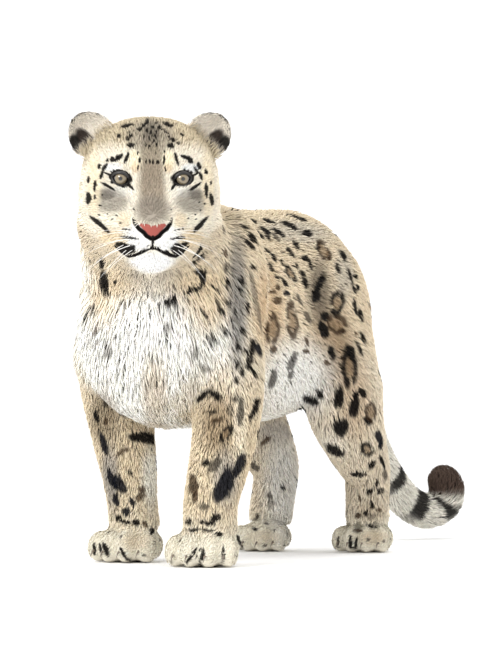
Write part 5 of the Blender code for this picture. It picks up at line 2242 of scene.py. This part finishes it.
    def _piece(self, name: str, frames: Array, colours: Array, roots: Array) -> bpy.types.Object:
        """One mesh of tufts.

        Args:
            name: The piece's name.
            frames: Ten points for each tuft.
            colours: Colours of each tuft at three places from near its root to its tip.
            roots: Each tuft's root.

        Returns:
            The new object.
        """
        count = len(frames)
        mesh = bpy.data.meshes.new(name)
        pattern = [(0, 1, 2)]
        for low in (0, 3):
            for i, j in ((0, 1), (1, 2), (2, 0)):
                pattern += [(low + i, low + 3 + i, low + 3 + j), (low + i, low + 3 + j, low + j)]
        pattern += [(6, 9, 7), (7, 9, 8), (8, 9, 6)]
        corners = (np.arange(count)[:, None, None] * 10 + np.array(pattern)).reshape(-1)
        mesh.vertices.add(count * 10)
        mesh.vertices.foreach_set("co", frames.astype(np.float32).ravel())
        mesh.loops.add(len(corners))
        mesh.loops.foreach_set("vertex_index", corners.astype(np.int32))
        mesh.polygons.add(len(corners) // 3)
        mesh.polygons.foreach_set("loop_start", np.arange(0, len(corners), 3, dtype=np.int32))
        mesh.update(calc_edges=True)
        mesh.shade_smooth()
        vary = self.random.normal(1.0, self.variation, (count, 1, 1))
        vary = vary + self.random.normal(0, self.tinting, (count, 1, 3))
        shade = np.array(self.shade_of_point)[None, :, None]
        paint = np.ones((count, 10, 4), np.float32)
        paint[..., :3] = np.clip(colours[:, list(self.colour_of_point)] * shade * vary, 0, 1)
        layer = mesh.color_attributes.new("Col", "FLOAT_COLOR", "POINT")
        layer.data.foreach_set("color", paint.ravel())
        local = roots - roots.mean(axis=0)
        turn = np.arctan2(local[:, 0], local[:, 2]) / (2 * math.pi) + 0.5
        rise = (roots[:, 1] - roots[:, 1].min()) / max(np.ptp(roots[:, 1]), 1e-6)
        steps = np.array([(j / 2, k / 3) for k in range(3) for j in range(3)] + [(0.5, 1.0)])
        base = np.stack((turn, rise), axis=1) * (1 - self.patch)
        place = (base[:, None, :] + steps[None] * self.patch).reshape(-1, 2)
        unwrap = mesh.uv_layers.new(name="OFBake")
        unwrap.data.foreach_set("uv", place[corners].astype(np.float32).ravel())
        obj = bpy.data.objects.new(name, mesh)
        bpy.context.scene.collection.objects.link(obj)
        LOG.info("%s: %d tufts, %d triangles", name, count, count * 16)
        return obj


class Eyes:
    """Eyeballs with a raised clear front, and dark rims round the lids."""

    rim_radius: float = 0.0019
    bulge: float = 0.0016
    bulge_radius: float = 0.0085

    def __init__(self, head: Head) -> None:
        """Set up the eyes of a head."""
        self.head = head

    def ball(self, side: Side) -> bpy.types.Object:
        """One eyeball in its own axes, facing -Y.

        Args:
            side: The eye's side.

        Returns:
            The eyeball.
        """
        mesh = bpy.data.meshes.new("eye")
        bm = bmesh.new()
        bmesh.ops.create_uvsphere(
            bm,
            u_segments=64,
            v_segments=40,
            radius=self.head.eye_radius,
            matrix=Matrix.Rotation(math.pi / 2, 4, "X"),
        )
        for vert in bm.verts:
            reach = math.hypot(vert.co.x, vert.co.z)
            if vert.co.y < 0:
                vert.co.y -= self.bulge * math.exp(-((reach / self.bulge_radius) ** 4))
        bm.to_mesh(mesh)
        bm.free()
        mesh.shade_smooth()
        mesh.materials.append(EyeFinish().material())
        ball = bpy.data.objects.new(f"eye_ball_{side.name.lower()}", mesh)
        bpy.context.scene.collection.objects.link(ball)
        ball.matrix_world = self.head.to_model() @ self.head.eye_place(side)
        return ball

    def rim(self, side: Side, material: bpy.types.Material) -> bpy.types.Object:
        """The dark edge of one eye's lids, as a closed ring.

        Args:
            side: The eye's side.
            material: The rim's material.

        Returns:
            The rim.
        """
        half_width, half_height = self.head.lid_half
        radius = (half_width**2 + half_height**2) / (2 * half_height)
        rise = radius - half_height
        sweep = math.atan2(half_width, rise)
        stations = []
        shell = self.head.eye_radius + self.head.lid_thickness * 0.55
        for sign in (1, -1):
            for i in range(14):
                t = sweep - 2 * sweep * i / 14
                u, v = sign * radius * math.sin(t), sign * (radius * math.cos(t) - rise)
                thick = self.rim_radius * (1.0 + 0.35 * (sign > 0) * math.cos(t * 1.6))
                stations.append((u, -math.sqrt(max(shell**2 - u * u - v * v, 0)), v, thick))
        mould = Mould()
        rings = []
        count = len(stations)
        for i, (x, y, z, thick) in enumerate(stations):
            ahead, behind = Vector(stations[(i + 1) % count][:3]), Vector(stations[i - 1][:3])
            along = (ahead - behind).normalized()
            out = Vector((x, y, z)).normalized()
            across = along.cross(out).normalized()
            ring = oval(Vector((x, y, z)), across, out, thick * 1.2, thick * 0.8, 8)
            rings.append([mould.bm.verts.new(point) for point in ring])
        for lower, upper in zip(rings, rings[1:] + rings[:1]):
            for i in range(8):
                j = (i + 1) % 8
                mould.bm.faces.new((lower[i], lower[j], upper[j], upper[i]))
        made = mould.finished(f"eye_rim_{side.name.lower()}")
        made.matrix_world = self.head.to_model() @ self.head.eye_place(side)
        made.data.shade_smooth()
        made.data.materials.append(material)
        return made


class Whiskers:
    """White bristles from the upper lip."""

    rows: tuple = (
        (0.020, -0.060, 0.052, 24), (0.030, -0.060, 0.066, 14), (0.038, -0.060, 0.070, 4),
        (0.021, -0.069, 0.064, 10), (0.031, -0.070, 0.080, 0), (0.041, -0.070, 0.084, -8),
        (0.024, -0.078, 0.070, -8), (0.034, -0.079, 0.084, -16), (0.044, -0.078, 0.080, -24),
        (0.030, -0.086, 0.060, -28), (0.040, -0.086, 0.066, -36),
    )
    root_radius: float = 0.0006

    def build(self, head: Head, tree: BVHTree) -> bpy.types.Object:
        """All the whiskers of both sides as one piece.

        Args:
            head: The head they grow from.
            tree: The skin's tree.

        Returns:
            The new object.
        """
        mould = Mould()
        place = head.to_model()
        facing = place.to_3x3() @ Vector((0, 1, 0))
        for side in Side:
            for x, z, length, lift in self.rows:
                start = place @ Vector((side.value * x, -0.4, z))
                root = tree.ray_cast(start, facing)[0]
                if root is None:
                    continue
                angle = math.radians(lift)
                out = Vector((side.value * math.cos(angle) * 0.90, -0.05, math.sin(angle)))
                stations = []
                for step in range(9):
                    share = step / 8
                    drop = Vector((0, 0.42 * length * share**2, -0.20 * length * share**2))
                    centre = root + place.to_3x3() @ (out * (length * share - 0.002) + drop)
                    stations.append((*centre, self.root_radius * (1 - 0.85 * share)))
                mould.loft(tube_rings(stations, 5))
        made = mould.finished("whiskers")
        made.data.shade_smooth()
        made.data.materials.append(WHISKER_FINISH.material())
        return made


class Claws:
    """The tips of the claws, almost hidden by the hair of the toes."""

    length: float = 0.012
    radius: float = 0.0024
    sunk: float = 0.005
    height: float = 0.020
    drop: float = 0.010

    def build(self, trunk: Trunk) -> bpy.types.Object:
        """Every claw as one piece.

        Args:
            trunk: The trunk, which places the paws.

        Returns:
            The piece.
        """
        mould = Mould()
        for name in trunk.paws:
            place = TO_MODEL @ trunk.paw_place(name)
            for sideways, forward in trunk.toes:
                tip = -forward - trunk.toe_half[1]
                stations = []
                for step in range(6):
                    share = step / 5
                    ahead = tip + self.sunk - self.length * share
                    centre = Vector((sideways, ahead, self.height - self.drop * share**2))
                    stations.append((*(place @ centre), self.radius * (1 - 0.85 * share)))
                mould.loft(tube_rings(stations, 8))
        made = mould.finished("claws")
        made.data.shade_smooth()
        made.data.materials.append(CLAW_FINISH.material())
        return made


class Studio:
    """Floor, lights and camera."""

    floor_size: float = 40
    sky_strength: float = 1.24
    lights = (("key", (-0.6, -3.8, 3.0), 105, 1.4), ("top", (0.8, 0.2, 4.0), 40, 2.0))
    aim: Station = (0.0, 0.0, 0.35)

    def build(self) -> None:
        """Set up the studio round the animal."""
        bpy.ops.mesh.primitive_plane_add(size=self.floor_size)
        floor = bpy.context.object
        floor.name = "floor"
        floor.data.materials.append(FLOOR_FINISH.material())
        for row in self.lights:
            self._light(*row)
        world = bpy.data.worlds.new("studio")
        bpy.context.scene.world = world
        world.use_nodes = True
        background = world.node_tree.nodes["Background"]
        background.inputs["Color"].default_value = (1.0, 1.0, 1.0, 1.0)
        background.inputs["Strength"].default_value = self.sky_strength
        bpy.context.scene.view_settings.view_transform = "Standard"
        VIEW.add_camera()

    def _light(self, name: str, place: Station, power: float, size: float) -> None:
        """A square soft light that faces the animal.

        Args:
            name: The light's name.
            place: Where it stands.
            power: Its power in watts.
            size: The length of its sides.
        """
        data = bpy.data.lights.new(name, "AREA")
        data.energy, data.size = power, size
        light = bpy.data.objects.new(name, data)
        bpy.context.scene.collection.objects.link(light)
        light.location = place
        aim = Vector(self.aim) - Vector(place)
        light.rotation_euler = aim.to_track_quat("-Z", "Y").to_euler()


def paint_skin(skin: bpy.types.Object, coat: Coat, markings: Markings) -> None:
    """Give the skin the coat's colours, those of its bare parts, and painted shade in the nostrils.

    Args:
        skin: The skin.
        coat: The coat on it.
        markings: The coat's colours.
    """
    mesh = skin.data
    colours = markings.colours(coat.points, coat.normals, coat.zones) * coat.skin_shade
    local = coat.form.head.local(coat.points)
    head = coat.form.head
    front = local[:, 1] < -0.02
    pad = front * ramp(head.nose_depth(local), -0.0008, 0.0006)
    colours = markings.mixed(colours, linear(156, 84, 76), pad)
    # The nostrils are painted near black: painted shade in their pits. The groove under the nose gets the
    # same near black.
    pit = front * ramp(head.line_distance(local, head.nostril), 0.0042, 0.0028)
    split = head.line_distance(local, ((0.0, -0.066), (0.0, -0.085)))
    pit = np.maximum(pit, front * ramp(split, 0.0030, 0.0016))
    colours = markings.mixed(colours, linear(16, 12, 11), pit)
    lip = front * ramp(head.line_distance(local, head.lip_line), 0.0052, 0.0032)
    colours = markings.mixed(colours, linear(20, 16, 14), lip)
    for side in Side:
        back = np.array(head.eye_place(side).inverted())
        eye = local @ back[:3, :3].T + back[:3, 3]
        gap = head.almond(eye[:, 0], eye[:, 2])
        lid = (eye[:, 1] < 0) * ramp(gap, 0.0056, 0.0040)
        colours = markings.mixed(colours, linear(18, 15, 14), lid)
    paint = np.ones((len(colours), 4), np.float32)
    paint[:, :3] = colours
    layer = mesh.color_attributes.new("Col", "FLOAT_COLOR", "POINT")
    layer.data.foreach_set("color", paint.ravel())
    mesh.materials.clear()
    mesh.materials.append(FurFinish("skin", roughness=0.6).material())


def write_sizes() -> None:
    """Bring the scene's objects up to date."""
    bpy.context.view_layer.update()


def main() -> None:
    """Dress the animal and set up the studio."""
    logging.basicConfig(level=logging.INFO, format="%(name)s: %(message)s")
    form = Form()
    skin = form.skin()
    markings = Markings(form, skin)
    coat = Coat(form, skin, markings)
    paint_skin(skin, coat, markings)
    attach(skin, BODY)
    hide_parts(*FLESH_NODES)
    for piece in coat.grow():
        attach(piece, BODY)
    eyes = Eyes(form.head)
    lid = LID_FINISH.material()
    for side in Side:
        ball = eyes.ball(side)
        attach(ball, BODY)
        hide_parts(f"eye_{side.name.lower()}")
        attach(eyes.rim(side, lid), BODY)
    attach(Whiskers().build(form.head, markings.tree), BODY)
    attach(Claws().build(form.trunk), BODY)
    Studio().build()
    write_sizes()


if __name__ == "__main__":
    main()
